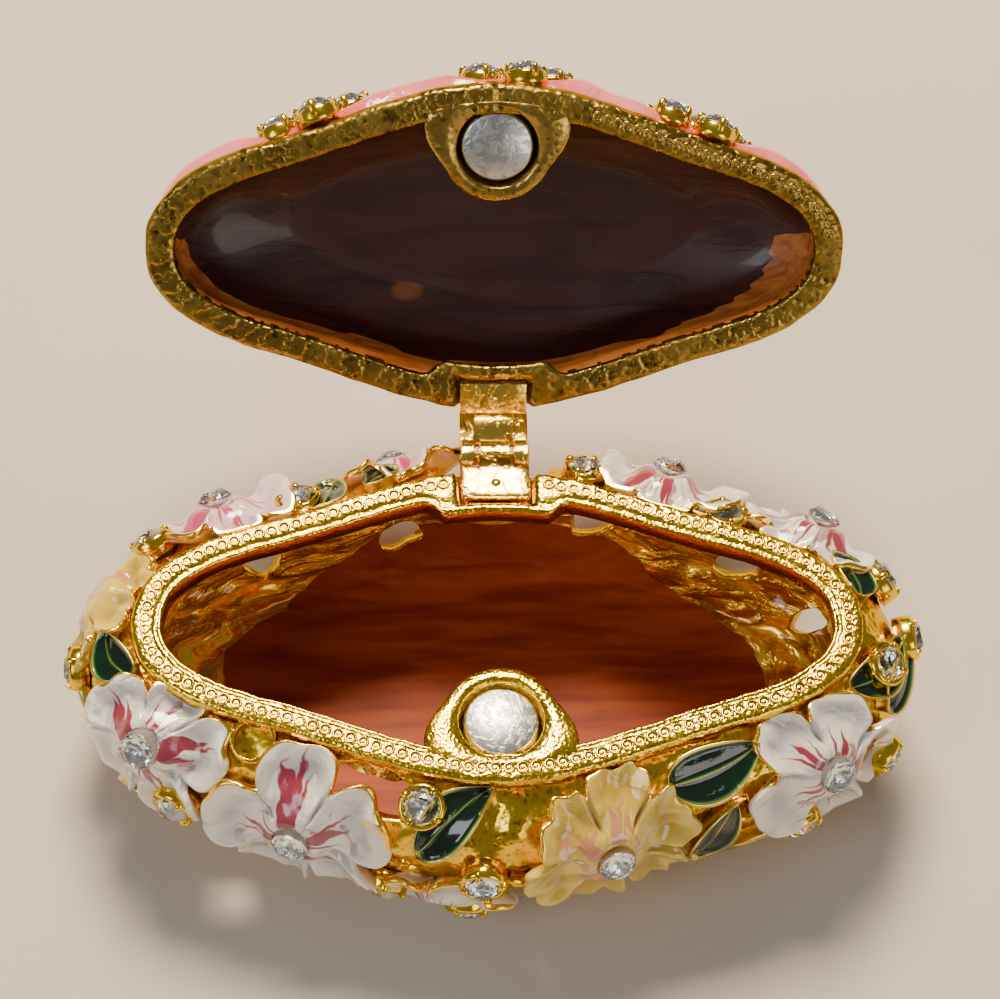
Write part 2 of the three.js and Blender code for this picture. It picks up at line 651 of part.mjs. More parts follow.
/** The strap that runs from a leaf's plate down to the barrel, centred at x. */
function leafStrap(side, width, x, lift = 0) {
  const [low, high] = leafFaces(side);
  const back = rimBack + LEAF_REACH;
  const reach = BARREL_RADIUS * STRAP_SHARE;
  const profile = new THREE.Shape([
    new THREE.Vector2(back - STRAP_DEPTH, low),
    new THREE.Vector2(hingeY - reach, hingeZ + reach),
    new THREE.Vector2(hingeY + reach, hingeZ + reach),
    new THREE.Vector2(back, high),
    new THREE.Vector2(back - STRAP_DEPTH, high),
  ]);
  const across = new THREE.Matrix4().makeBasis(
    new THREE.Vector3(0, 1, 0), new THREE.Vector3(0, 0, 1), new THREE.Vector3(1, 0, 0),
  ).premultiply(moved(x - width / 2, 0, lift));
  return solid(new THREE.ExtrudeGeometry(profile, { depth: width, bevelEnabled: false }), across);
}

/** The web between the lid leaf's straps, clear of the middle knuckle and of its strap. */
function leafWeb() {
  const room = MIDDLE_KNUCKLE + 2 * FIT_GAP;
  return leafStrap(1, room + OUTER_KNUCKLE, 0)
    .subtract(rod(BARREL_RADIUS + FIT_GAP, room, 0, hingeY, hingeZ, 2 * BARREL_SIDES))
    .subtract(leafStrap(-1, room, 0, 2 * FIT_GAP))
    .subtract(block(span(room), [rimBack, hingeY + rimBack], [0, hingeZ + BARREL_RADIUS + FIT_GAP]));
}

/** A hinge leaf: a plate in its notch that runs down to the barrel, cut to its knuckles. */
function hingeLeaf(side) {
  const plate = block(span(LEAF_WIDTH), [rimBack - LEAF_LENGTH, rimBack + LEAF_REACH], leafFaces(side));
  const knuckle = (width, x) => (
    leafStrap(side, width, x).add(rod(BARREL_RADIUS, width, x, hingeY, hingeZ, BARREL_SIDES)));
  const outerX = MIDDLE_KNUCKLE / 2 + FIT_GAP + OUTER_KNUCKLE / 2;
  const bodies = side > 0
    ? [knuckle(OUTER_KNUCKLE, -outerX), knuckle(OUTER_KNUCKLE, outerX), leafWeb()]
    : [knuckle(MIDDLE_KNUCKLE, 0)];
  const bore = rod(PIN_RADIUS + FIT_GAP, 2 * LEAF_WIDTH, 0, hingeY, hingeZ, PIN_SIDES);
  return wasm.Manifold.union([plate, ...bodies]).subtract(bore);
}

// The stones.

/** A flat-backed faceted stone standing on z = 0 with its table up. */
function stone() {
  const ring = (radius, z) => Array.from({ length: STONE_SIDES }, (_, i) => {
    const angle = (2 * Math.PI * i) / STONE_SIDES;
    return new THREE.Vector3(radius * Math.cos(angle), radius * Math.sin(angle), z);
  });
  return solid(loft([ring(STONE_RADIUS, 0), ring(TABLE_SHARE * STONE_RADIUS, STONE_HEIGHT)]));
}

// Assembly.

const part = new THREE.Group();
const lid = new THREE.Group();
lid.position.set(0, hingeY, hingeZ);
lid.rotation.x = -THREE.MathUtils.degToRad(OPEN_ANGLE);
part.add(lid);
const closedLid = new THREE.Group();
closedLid.position.set(0, -hingeY, -hingeZ);
lid.add(closedLid);

/** Adds a named mesh to a group, placed by a matrix. */
function addPiece(group, name, geometry, material, frame = new THREE.Matrix4()) {
  const mesh = new THREE.Mesh(geometry, material);
  mesh.name = name;
  frame.decompose(mesh.position, mesh.quaternion, mesh.scale);
  group.add(mesh);
}

addPiece(part, 'basket_body', geometryOf(makeBasket()), castGold);
addPiece(closedLid, 'lid_shell', geometryOf(makeLid()), pinkEnamel);
addPiece(part, 'hinge_base_leaf', geometryOf(hingeLeaf(-1)), polishedBrass);
addPiece(closedLid, 'hinge_lid_leaf', geometryOf(hingeLeaf(1)), polishedBrass);
const pin = rod(PIN_RADIUS, 2 * knuckleReach, 0, hingeY, hingeZ, PIN_SIDES);
addPiece(part, 'hinge_pin', geometryOf(pin), polishedBrass);

const magnet = (low) => geometryOf(disc(MAGNET_RADIUS, MAGNET_RADIUS, MAGNET_HEIGHT, low,
  MAGNET_SIDES, moved(0, magnetY, 0)));
addPiece(part, 'base_magnet', magnet(BODY_HEIGHT - MAGNET_RECESS - MAGNET_HEIGHT), magnetSteel);
addPiece(closedLid, 'lid_magnet', magnet(lidBase + MAGNET_RECESS), magnetSteel);

const numbered = (stem, i) => `${stem}_${String(i + 1).padStart(2, '0')}`;
BODY_STONES.forEach((spot, i) => {
  addPiece(part, numbered('body_stone', i), geometryOf(stone()), crystal,
    bellyFrame(spot, spot.top * RELIEF + FIT_GAP));
});
ROSETTES.forEach((rosette, r) => {
  for (let i = 0; i <= ROSETTE_STONES; i += 1) {
    const angle = (2 * Math.PI * i) / ROSETTE_STONES;
    const reach = i < ROSETTE_STONES ? ROSETTE_SPACING : 0;
    const place = moved(reach * Math.cos(angle), reach * Math.sin(angle), FIT_GAP);
    addPiece(closedLid, numbered(`rosette_${r + 1}_stone`, i), geometryOf(stone()), crystal,
      lidFrame(rosette).multiply(place));
  }
});
LID_SINGLES.forEach((single, i) => {
  addPiece(closedLid, numbered('lid_stone', i), geometryOf(stone()), crystal,
    lidFrame(single).multiply(moved(0, 0, LID_COLLAR_HEIGHT + FIT_GAP)));
});

export default part;
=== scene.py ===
"""Looks of a jewelled trinket box: a gilded openwork basket of enamelled flowers and leaves set
with clear stones, its domed pink lid, the brass hinge and the magnet catch."""
import logging
import math
from dataclasses import dataclass
from enum import Enum

import bmesh
import bpy
import numpy as np
from mathutils import Matrix, Vector


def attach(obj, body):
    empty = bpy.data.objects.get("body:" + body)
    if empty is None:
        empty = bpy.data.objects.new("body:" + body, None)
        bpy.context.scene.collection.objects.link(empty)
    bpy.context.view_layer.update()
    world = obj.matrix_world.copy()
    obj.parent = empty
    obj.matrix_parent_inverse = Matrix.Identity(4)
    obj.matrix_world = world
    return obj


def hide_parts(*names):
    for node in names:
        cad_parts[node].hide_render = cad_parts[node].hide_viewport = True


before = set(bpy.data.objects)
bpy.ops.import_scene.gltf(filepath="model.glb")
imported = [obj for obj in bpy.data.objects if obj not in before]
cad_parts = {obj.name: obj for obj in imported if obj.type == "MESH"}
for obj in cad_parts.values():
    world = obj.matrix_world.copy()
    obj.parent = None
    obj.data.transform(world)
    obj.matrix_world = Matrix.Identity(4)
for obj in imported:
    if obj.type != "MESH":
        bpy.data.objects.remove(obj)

LOG = logging.getLogger("trinket_box")
MM = 0.001
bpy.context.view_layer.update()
Marks = dict[str, np.ndarray | float]
Profile = list[tuple[float, float]]


# Shapes shared by every piece.


def smooth(low: float, high: float, value: np.ndarray) -> np.ndarray:
    """An even step from 0 to 1 between two values."""
    t = np.clip((value - low) / (high - low), 0.0, 1.0)
    return t * t * (3 - 2 * t)


def hash_noise(points: np.ndarray, scale: float, seed: int) -> np.ndarray:
    """Soft, repeatable noise between -1 and 1.

    Args:
        points: Places in millimetres, in the last axis.
        scale: Size of a bump in millimetres.
        seed: Chooses one pattern.

    Returns:
        One value for each place.
    """
    p = points / scale + 17.3 * seed
    cell = np.floor(p)
    f = p - cell
    f = f * f * (3 - 2 * f)
    total = np.zeros(points.shape[:-1])
    for corner in range(8):
        step = np.array([corner & 1, (corner >> 1) & 1, (corner >> 2) & 1], float)
        at = cell + step
        value = np.sin(at @ np.array([127.1, 311.7, 74.7]) + 1.7 * seed) * 43758.5453
        value = value - np.floor(value)
        weight = np.prod(np.where(step > 0, f, 1 - f), axis=-1)
        total += weight * value
    return 2 * total - 1


def catmull(rows: np.ndarray, share: np.ndarray) -> np.ndarray:
    """Rows of numbers read smoothly at shares of the whole list.

    Args:
        rows: The rows.
        share: How far down the list to read, from 0 to 1.

    Returns:
        One row of numbers for each share.
    """
    place = np.clip(share, 0.0, 1.0) * (len(rows) - 1)
    i = np.minimum(np.floor(place).astype(int), len(rows) - 2)
    t = (place - i)[..., None]
    p0, p1, p2, p3 = (rows[np.clip(i + k, 0, len(rows) - 1)] for k in (-1, 0, 1, 2))
    return 0.5 * (
        2 * p1 + (p2 - p0) * t + (2 * p0 - 5 * p1 + 4 * p2 - p3) * t**2
        + (3 * p1 - p0 - 3 * p2 + p3) * t**3
    )


class Draft:
    """Points, faces and marks gathered for one mesh, in millimetres."""

    def __init__(self) -> None:
        """Starts an empty draft."""
        self.points: list[np.ndarray] = []
        self.faces: list[tuple[np.ndarray, int]] = []
        self.marks: dict[str, list[tuple[int, np.ndarray]]] = {}
        self.count = 0

    def add_points(self, points: np.ndarray, marks: Marks | None = None) -> int:
        """Adds points with their marks.

        Args:
            points: Rows of x, y, z.
            marks: Named values that spread over the points.

        Returns:
            The number of the first new point.
        """
        start = self.count
        flat = points.reshape(-1, 3)
        self.points.append(flat)
        self.count += len(flat)
        for name, values in (marks or {}).items():
            spread = np.broadcast_to(values, points.shape[:-1]).reshape(-1)
            self.marks.setdefault(name, []).append((start, spread))
        return start

    def add_faces(self, faces: np.ndarray, finish: int = 0) -> None:
        """Adds faces, each a row of point numbers, with one finish."""
        self.faces.append((faces.reshape(-1, faces.shape[-1]), finish))

    def grid(self, points: np.ndarray, wrap: bool = False, finish: int = 0,
             marks: Marks | None = None) -> None:
        """Adds a grid of quads.

        Args:
            points: Places as rows by columns by 3.
            wrap: Whether the last column joins the first.
            finish: Number of the finish.
            marks: Named values that spread over the points.
        """
        start = self.add_points(points, marks)
        index = start + np.arange(points[..., 0].size).reshape(points.shape[:2])
        right = np.roll(index, -1, 1) if wrap else index[:, 1:]
        left = index if wrap else index[:, :-1]
        quads = np.stack([left[:-1], right[:-1], right[1:], left[1:]], -1)
        self.add_faces(quads, finish)

    def mesh(self, name: str, weld: float = 2e-7) -> bpy.types.Mesh:
        """The closed mesh of the draft, in metres, with merged seams and outward faces.

        Args:
            name: The mesh's name.
            weld: Points nearer than this many metres become one.

        Returns:
            The new mesh.
        """
        mesh = bpy.data.meshes.new(name)
        points = np.concatenate(self.points) * MM
        faces, finishes = [], []
        for block, finish in self.faces:
            faces.extend(map(tuple, block.tolist()))
            finishes.extend([finish] * len(block))
        mesh.from_pydata(points.tolist(), [], faces)
        mesh.polygons.foreach_set("material_index", finishes)
        for mark, parts in self.marks.items():
            values = np.zeros(len(points), np.float32)
            for start, part in parts:
                values[start:start + len(part)] = part
            mesh.attributes.new(mark, "FLOAT", "POINT").data.foreach_set("value", values)
        body = bmesh.new()
        body.from_mesh(mesh)
        bmesh.ops.remove_doubles(body, verts=body.verts, dist=weld)
        bmesh.ops.recalc_face_normals(body, faces=body.faces)
        for face in body.faces:
            face.smooth = True
        body.to_mesh(mesh)
        body.free()
        return mesh


def make_piece(name: str, mesh: bpy.types.Mesh, finishes: list[bpy.types.Material],
               flat: bool = False) -> bpy.types.Object:
    """Puts a mesh in the scene.

    Args:
        name: The piece's name.
        mesh: Its mesh, in place.
        finishes: Its materials in the order of the mesh's finish numbers.
        flat: Whether its faces are shaded flat, as on a cut stone.

    Returns:
        The new object.
    """
    piece = bpy.data.objects.new(name, mesh)
    bpy.context.scene.collection.objects.link(piece)
    if not mesh.materials:
        for finish in finishes:
            mesh.materials.append(finish)
    if flat:
        mesh.polygons.foreach_set("use_smooth", [False] * len(mesh.polygons))
    return piece


def settle(piece: bpy.types.Object, body: str, slot: str, *nodes: str) -> bpy.types.Object:
    """Fixes a finished piece to its body and hides the solids that it stands for.

    Args:
        piece: The finished piece.
        body: The body that it rides on.
        slot: Its material slot; not used.
        nodes: The solids that it replaces.

    Returns:
        The same piece.
    """
    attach(piece, body)
    if nodes:
        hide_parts(*nodes)
    LOG.info("%s on %s, %d faces", piece.name, body, len(piece.data.polygons))
    return piece


def turned(points: np.ndarray, matrix: Matrix) -> np.ndarray:
    """Points moved by a matrix, in millimetres."""
    m = np.array(matrix)
    return points @ m[:3, :3].T + m[:3, 3]


def lathe(profile: Profile, sides: int) -> np.ndarray:
    """A grid of points round Z.

    Args:
        profile: Rows of radius and height.
        sides: Points in each ring.

    Returns:
        The points, as rows by sides by 3.
    """
    angles = np.linspace(0, 2 * math.pi, sides, endpoint=False)
    rows = np.array(profile)
    return np.stack([
        rows[:, :1] * np.cos(angles), rows[:, :1] * np.sin(angles),
        np.broadcast_to(rows[:, 1:], (len(rows), sides)),
    ], -1)


# Finishes.


def socket(group: bpy.types.NodeTree, name: str, way: str, kind: str,
           value: object = None) -> None:
    """Adds a named socket to a node group.

    Args:
        group: The group.
        name: The socket's name.
        way: INPUT or OUTPUT.
        kind: Blender's name of its kind.
        value: Its starting value.
    """
    made = group.interface.new_socket(name=name, in_out=way, socket_type=kind)
    if value is not None:
        made.default_value = value


class Sheet:
    """A node tree with short calls for placing and joining its nodes."""

    def __init__(self, tree: bpy.types.NodeTree) -> None:
        """Takes the tree to draw on."""
        self.tree = tree

    def node(self, kind: str, settings: dict[str, object] | None = None,
             **inputs: object) -> bpy.types.Node:
        """Places a node.

        Args:
            kind: Blender's name of the node.
            settings: Its own properties.
            inputs: Values or sockets by the input's name, or by its place after an underscore.

        Returns:
            The node.
        """
        made = self.tree.nodes.new(kind)
        for key, value in (settings or {}).items():
            setattr(made, key, value)
        for key, value in inputs.items():
            which = int(key[1:]) if key[0] == "_" else key.replace("__", " ")
            target = made.inputs[which]
            if isinstance(value, bpy.types.NodeSocket):
                self.tree.links.new(value, target)
            else:
                target.default_value = value
        return made

    def math(self, operation: str, a: object, b: object = 0.0,
             c: object = 0.0) -> bpy.types.NodeSocket:
        """One sum of numbers."""
        made = self.node("ShaderNodeMath", {"operation": operation}, _0=a, _1=b, _2=c)
        return made.outputs[0]

    def step(self, value: object, low: object, high: object, least: object = 0.0,
             most: object = 1.0) -> bpy.types.NodeSocket:
        """A smooth change between two values."""
        made = self.node("ShaderNodeMapRange", {"interpolation_type": "SMOOTHSTEP"},
                         _0=value, _1=low, _2=high, _3=least, _4=most)
        return made.outputs[0]

    def mix(self, share: object, a: object, b: object) -> bpy.types.NodeSocket:
        """A mix of two colours."""
        made = self.node("ShaderNodeMix", {"data_type": "RGBA"}, _0=share, _6=a, _7=b)
        return made.outputs[2]

    def mark(self, name: str) -> bpy.types.NodeSocket:
        """A mark that the mesh carries."""
        return self.node("ShaderNodeAttribute", {"attribute_name": name}).outputs["Fac"]


def make_group(name: str, inputs: dict[str, tuple[str, object]],
               outputs: dict[str, str]) -> tuple:
    """A shader node group with named sockets.

    Args:
        name: Its name.
        inputs: Socket kinds and starting values by name.
        outputs: Socket kinds by name.

    Returns:
        The group, its sheet, its input node and its output node.
    """
    group = bpy.data.node_groups.new(name, "ShaderNodeTree")
    for key, (kind, value) in inputs.items():
        socket(group, key, "INPUT", kind, value)
    for key, kind in outputs.items():
        socket(group, key, "OUTPUT", kind)
    sheet = Sheet(group)
    return group, sheet, sheet.node("NodeGroupInput"), sheet.node("NodeGroupOutput")


FLOAT, COLOUR, VECTOR = "NodeSocketFloat", "NodeSocketColor", "NodeSocketVector"


def cast_grain_group() -> bpy.types.NodeTree:
    """The sandy grain of a casting: a height and a mask of its hollows.

    Returns:
        The group.
    """
    group, s, given, out = make_group(
        "cast_grain",
        {"Place": (VECTOR, (0, 0, 0)), "Grain": (FLOAT, 2500.0), "Lumps": (FLOAT, 500.0),
         "Lump Share": (FLOAT, 0.5)},
        {"Height": FLOAT, "Hollows": FLOAT},
    )
    fine = s.node("ShaderNodeTexVoronoi", {"feature": "SMOOTH_F1"}, Vector=given.outputs["Place"],
                  Scale=given.outputs["Grain"], Smoothness=0.6).outputs["Distance"]
    grit = s.node("ShaderNodeTexNoise", None, Vector=given.outputs["Place"],
                  Scale=given.outputs["Grain"], Detail=3.0).outputs[0]
    lumps = s.node("ShaderNodeTexNoise", None, Vector=given.outputs["Place"],
                   Scale=given.outputs["Lumps"], Detail=2.0, Distortion=0.6).outputs[0]
    small = s.math("MULTIPLY_ADD", fine, 0.6, s.math("MULTIPLY", grit, 0.4))
    share = given.outputs["Lump Share"]
    rest = s.math("MULTIPLY", small, s.math("SUBTRACT", 1.0, share))
    height = s.math("MULTIPLY_ADD", lumps, share, rest)
    s.tree.links.new(height, out.inputs["Height"])
    s.tree.links.new(s.step(height, 0.5, 0.28), out.inputs["Hollows"])
    return group


def cloud_group() -> bpy.types.NodeTree:
    """A cloudy mix of two colours, as in fired glass or lacquer.

    Returns:
        The group.
    """
    group, s, given, out = make_group(
        "cloud",
        {"Place": (VECTOR, (0, 0, 0)), "Scale": (FLOAT, 200.0), "Warp": (FLOAT, 0.5),
         "Low": (FLOAT, 0.4), "High": (FLOAT, 0.65), "Colour A": (COLOUR, (1, 1, 1, 1)),
         "Colour B": (COLOUR, (0, 0, 0, 1))},
        {"Colour": COLOUR, "Share": FLOAT},
    )
    noise = s.node("ShaderNodeTexNoise", None, Vector=given.outputs["Place"], Detail=4.0,
                   Scale=given.outputs["Scale"], Distortion=given.outputs["Warp"]).outputs[0]
    share = s.step(noise, given.outputs["Low"], given.outputs["High"])
    colour = s.mix(share, given.outputs["Colour A"], given.outputs["Colour B"])
    s.tree.links.new(colour, out.inputs["Colour"])
    s.tree.links.new(share, out.inputs["Share"])
    return group


def streak_group() -> bpy.types.NodeTree:
    """Tapered streaks and blots that run out from a flower's heart along each petal.

    Returns:
        The group.
    """
    group, s, given, out = make_group(
        "petal_streaks",
        {"Place": (VECTOR, (0, 0, 0)), "Along": (FLOAT, 0.0), "Across": (FLOAT, 0.0),
         "Petal": (FLOAT, 0.5), "Breadth": (FLOAT, 0.3), "Reach": (FLOAT, 0.7),
         "Blots": (FLOAT, 0.5)},
        {"Mask": FLOAT},
    )
    along, petal, breadth = (given.outputs[k] for k in ("Along", "Petal", "Breadth"))
    wander = s.node("ShaderNodeTexNoise", None, Vector=given.outputs["Place"], Scale=460.0,
                    Detail=2.0).outputs[0]
    sway = s.math("MULTIPLY", s.math("SUBTRACT", wander, 0.5), 0.8)
    across = s.math("ADD", given.outputs["Across"], sway)
    masks = []
    streaks = ((-0.12, 0.5, 1.0, 1.0), (0.55, -0.7, 0.42, 1.25), (-0.62, 0.4, 0.3, 0.8))
    for centre, turn, wide, far in streaks:
        longer = s.math("MULTIPLY_ADD", petal, 0.7 * far, 0.55 * far)
        reach = s.math("MULTIPLY", given.outputs["Reach"], longer)
        taper = s.step(along, reach, 0.0)
        wider = s.math("MULTIPLY_ADD", petal, wide, 0.4 * wide)
        width = s.math("MULTIPLY", s.math("MULTIPLY", breadth, taper), wider)
        middle = s.math("MULTIPLY_ADD", petal, turn, centre)
        away = s.math("ABSOLUTE", s.math("SUBTRACT", across, middle))
        streak = s.step(s.math("SUBTRACT", width, away), -0.03, 0.05)
        masks.append(s.math("MULTIPLY", streak, s.step(taper, 0.0, 0.08)))
    spread = s.node("ShaderNodeTexNoise", None, Vector=given.outputs["Place"], Scale=330.0,
                    Detail=3.0, Distortion=1.2).outputs[0]
    blots = s.math("MULTIPLY", s.step(spread, 0.58, 0.64), s.step(along, 0.9, 0.45))
    masks.append(s.math("MULTIPLY", blots, given.outputs["Blots"]))
    mask = masks[0]
    for other in masks[1:]:
        mask = s.math("MAXIMUM", mask, other)
    s.tree.links.new(mask, out.inputs["Mask"])
    return group


class Groups(Enum):
    """The shader groups that several finishes share."""

    GRAIN = "cast_grain"
    CLOUD = "cloud"
    STREAKS = "petal_streaks"


def make_groups() -> None:
    """Builds each shared shader group once."""
    cast_grain_group()
    cloud_group()
    streak_group()


class Bench:
    """One material being made: its sheet, its surface shader and the shared groups."""

    def __init__(self, name: str, **surface: object) -> None:
        """Starts a material with its surface shader's own values.

        Args:
            name: The material's name.
            surface: Values of the Principled shader's inputs, with two underscores for a space.
        """
        self.material = bpy.data.materials.new(name)
        self.material.use_nodes = True
        self.material.node_tree.nodes.clear()
        self.sheet = Sheet(self.material.node_tree)
        self.surface = self.sheet.node("ShaderNodeBsdfPrincipled", None, **surface)
        end = self.sheet.node("ShaderNodeOutputMaterial")
        self.sheet.tree.links.new(self.surface.outputs[0], end.inputs["Surface"])
        self.place = self.sheet.node("ShaderNodeTexCoord").outputs["Object"]

    def group(self, which: Groups, **inputs: object) -> bpy.types.Node:
        """Places a shared group on Object coordinates."""
        tree = bpy.data.node_groups[which.value]
        return self.sheet.node("ShaderNodeGroup", {"node_tree": tree}, Place=self.place, **inputs)

    def feed(self, target: str, value: bpy.types.NodeSocket) -> None:
        """Joins a value to one of the surface shader's inputs."""
        self.sheet.tree.links.new(value, self.surface.inputs[target])

    def bump(self, height: bpy.types.NodeSocket, depth: float, strength: float = 1.0) -> None:
        """Raises the surface's normal by a height, with a depth in millimetres."""
        made = self.sheet.node("ShaderNodeBump", None, Strength=strength, Distance=depth * MM,
                               Height=height)
        self.feed("Normal", made.outputs[0])



@dataclass(frozen=True)
class Gold:
    """Gilded casting: bright on its tops, brown in its hollows, with a sandy grain."""

    name: str
    bright: tuple = (0.95, 0.62, 0.13, 1)
    deep: tuple = (0.30, 0.13, 0.015, 1)
    roughness: float = 0.27
    grain: float = 1900.0
    lumps: float = 420.0
    lump_share: float = 0.45
    depth: float = 0.16
    lines: float = 0.0
    contrast: float = 0.85

    def make(self) -> bpy.types.Material:
        """The material.

        Returns:
            The new material.
        """
        b = Bench(self.name, Metallic=1.0, Specular__Tint=(1.0, 0.80, 0.30, 1))
        s = b.sheet
        grain = b.group(Groups.GRAIN, Grain=self.grain, Lumps=self.lumps,
                        Lump__Share=self.lump_share)
        height = grain.outputs["Height"]
        if self.lines:
            run = s.math("ADD", s.mark("run"), s.math("MULTIPLY", height, 5.0))
            ridge = s.math("SINE", s.math("MULTIPLY", run, 3.1))
            height = s.math("MULTIPLY_ADD", ridge, self.lines, height)
        cloud = b.group(Groups.CLOUD, Scale=260.0, Low=0.35, High=0.75, Colour__A=self.bright,
                        Colour__B=tuple(0.78 * c for c in self.bright[:3]) + (1,))
        hollow = s.math("MULTIPLY", grain.outputs["Hollows"], self.contrast)
        b.feed("Base Color", s.mix(hollow, cloud.outputs["Colour"], self.deep))
        b.feed("Roughness", s.step(cloud.outputs["Share"], 0.0, 1.0, self.roughness * 0.75,
                                   self.roughness * 1.35))
        b.bump(height, self.depth)
        return b.material


@dataclass(frozen=True)
class Petals:
    """Fired enamel on petals, with streaks from the heart, painted shade in its pools and creases,
    and gold where its edge is worn.
    """

    name: str
    light: tuple = (0.90, 0.82, 0.70, 1)
    shade: tuple = (0.50, 0.48, 0.53, 1)
    streak: tuple = (0.29, 0.004, 0.035, 1)
    gold: tuple = (1.0, 0.60, 0.04, 1)
    breadth: float = 0.52
    reach: float = 0.80
    streak_share: float = 0.95
    blots: float = 0.7
    scale: float = 260.0

    def make(self) -> bpy.types.Material:
        """The material.

        Returns:
            The new material.
        """
        b = Bench(self.name, Coat__Weight=0.9, Coat__Roughness=0.04,
                  Subsurface__Weight=0.10, Subsurface__Scale=0.0012)
        s = b.sheet
        dusk = tuple(0.5 * (a + c) for a, c in zip(self.light, self.shade))
        cloud = b.group(Groups.CLOUD, Scale=self.scale, Low=0.46, High=0.74, Warp=0.8,
                        Colour__A=self.light, Colour__B=dusk)
        # Painted shade: the petals' shaded colour is mixed in where the mark deep lies, in the
        # pools and creases.
        crease_shaded = s.mix(s.math("MULTIPLY", s.mark("deep"), 0.8), cloud.outputs["Colour"], self.shade)
        streaks = b.group(Groups.STREAKS, Along=s.mark("along"), Across=s.mark("across"),
                          Petal=s.mark("petal"), Breadth=self.breadth, Reach=self.reach,
                          Blots=self.blots)
        share = s.math("MULTIPLY", streaks.outputs["Mask"], self.streak_share)
        painted = s.mix(share, crease_shaded, self.streak)
        worn = s.math("MULTIPLY_ADD", cloud.outputs["Share"], 0.6,
                      s.math("SUBTRACT", s.mark("gilt"), 0.35))
        gilt = s.step(worn, 0.1, 0.3)
        b.feed("Base Color", s.mix(gilt, painted, self.gold))
        b.feed("Metallic", gilt)
        b.feed("Roughness", s.step(gilt, 0.0, 1.0, 0.15, 0.26))
        b.bump(cloud.outputs["Share"], 0.10)
        return b.material


@dataclass(frozen=True)
class LeafGreen:
    """Dark green glass pools between gold edges and a gold rib."""

    name: str
    pool: tuple = (0.0008, 0.011, 0.0035, 1)
    thin: tuple = (0.012, 0.10, 0.022, 1)
    cloud: tuple = (0.002, 0.028, 0.008, 1)
    gold: tuple = (0.80, 0.62, 0.12, 1)

    def make(self) -> bpy.types.Material:
        """The material.

        Returns:
            The new material.
        """
        b = Bench(self.name, Coat__Weight=0.6, Coat__Roughness=0.04)
        s = b.sheet
        pool = s.mark("pool")
        cloud = b.group(Groups.CLOUD, Scale=330.0, Low=0.45, High=0.75, Colour__A=self.pool,
                        Colour__B=self.cloud)
        edged = s.mix(s.step(pool, 0.45, 0.8), self.thin, cloud.outputs["Colour"])
        gold = s.step(pool, 0.36, 0.24)
        b.feed("Base Color", s.mix(gold, edged, self.gold))
        b.feed("Metallic", gold)
        b.feed("Roughness", s.step(pool, 0.2, 0.5, 0.3, 0.08))
        b.bump(cloud.outputs["Share"], 0.08)
        return b.material


@dataclass(frozen=True)
class InnerCoat:
    """Amber lacquer over the gilt inner wall, brick enamel where the floor is marked, and a painted
    sheen of bright yellow where the wall behind the hinge is marked."""

    name: str
    amber: tuple = (1.0, 0.60, 0.035, 1)
    amber_deep: tuple = (0.42, 0.15, 0.006, 1)
    brick: tuple = (0.36, 0.060, 0.008, 1)
    brick_deep: tuple = (0.22, 0.026, 0.005, 1)
    # Painted sheen: a bright yellow laid on the wall behind the hinge.
    bright: tuple = (1.0, 0.74, 0.05, 1)

    def make(self) -> bpy.types.Material:
        """The material.

        Returns:
            The new material.
        """
        b = Bench(self.name, Coat__Roughness=0.05, Specular__IOR__Level=0.12)
        s, place = b.sheet, b.place
        b.place = s.node("ShaderNodeMapping", None, Vector=place, Scale=(0.4, 0.5, 1.7)).outputs[0]
        wall = b.group(Groups.CLOUD, Scale=420.0, Low=0.40, High=0.62, Warp=0.9,
                       Colour__A=self.amber, Colour__B=self.amber_deep)
        b.place = s.node("ShaderNodeMapping", None, Vector=place, Scale=(1.0, 8.0, 1.0)).outputs[0]
        floor = b.group(Groups.CLOUD, Scale=85.0, Low=0.35, High=0.68, Warp=0.5,
                        Colour__A=self.brick, Colour__B=self.brick_deep)
        # The mark bay lays the painted sheen: bright yellow and less metal behind the hinge.
        share, bay = s.step(s.mark("floor"), 0.42, 0.58), s.step(s.mark("bay"), 0.3, 0.7)
        amber = s.mix(bay, wall.outputs["Colour"], self.bright)
        b.feed("Base Color", s.mix(share, amber, floor.outputs["Colour"]))
        b.feed("Metallic", s.step(s.math("MAXIMUM", share, bay), 0.0, 1.0, 0.8, 0.0))
        b.feed("Roughness", s.step(share, 0.0, 1.0, 0.22, 0.45))
        b.feed("Coat Weight", s.step(share, 0.0, 1.0, 0.8, 0.0))
        b.bump(s.math("MULTIPLY", wall.outputs["Share"], s.math("SUBTRACT", 1.0, share)), 0.30)
        return b.material


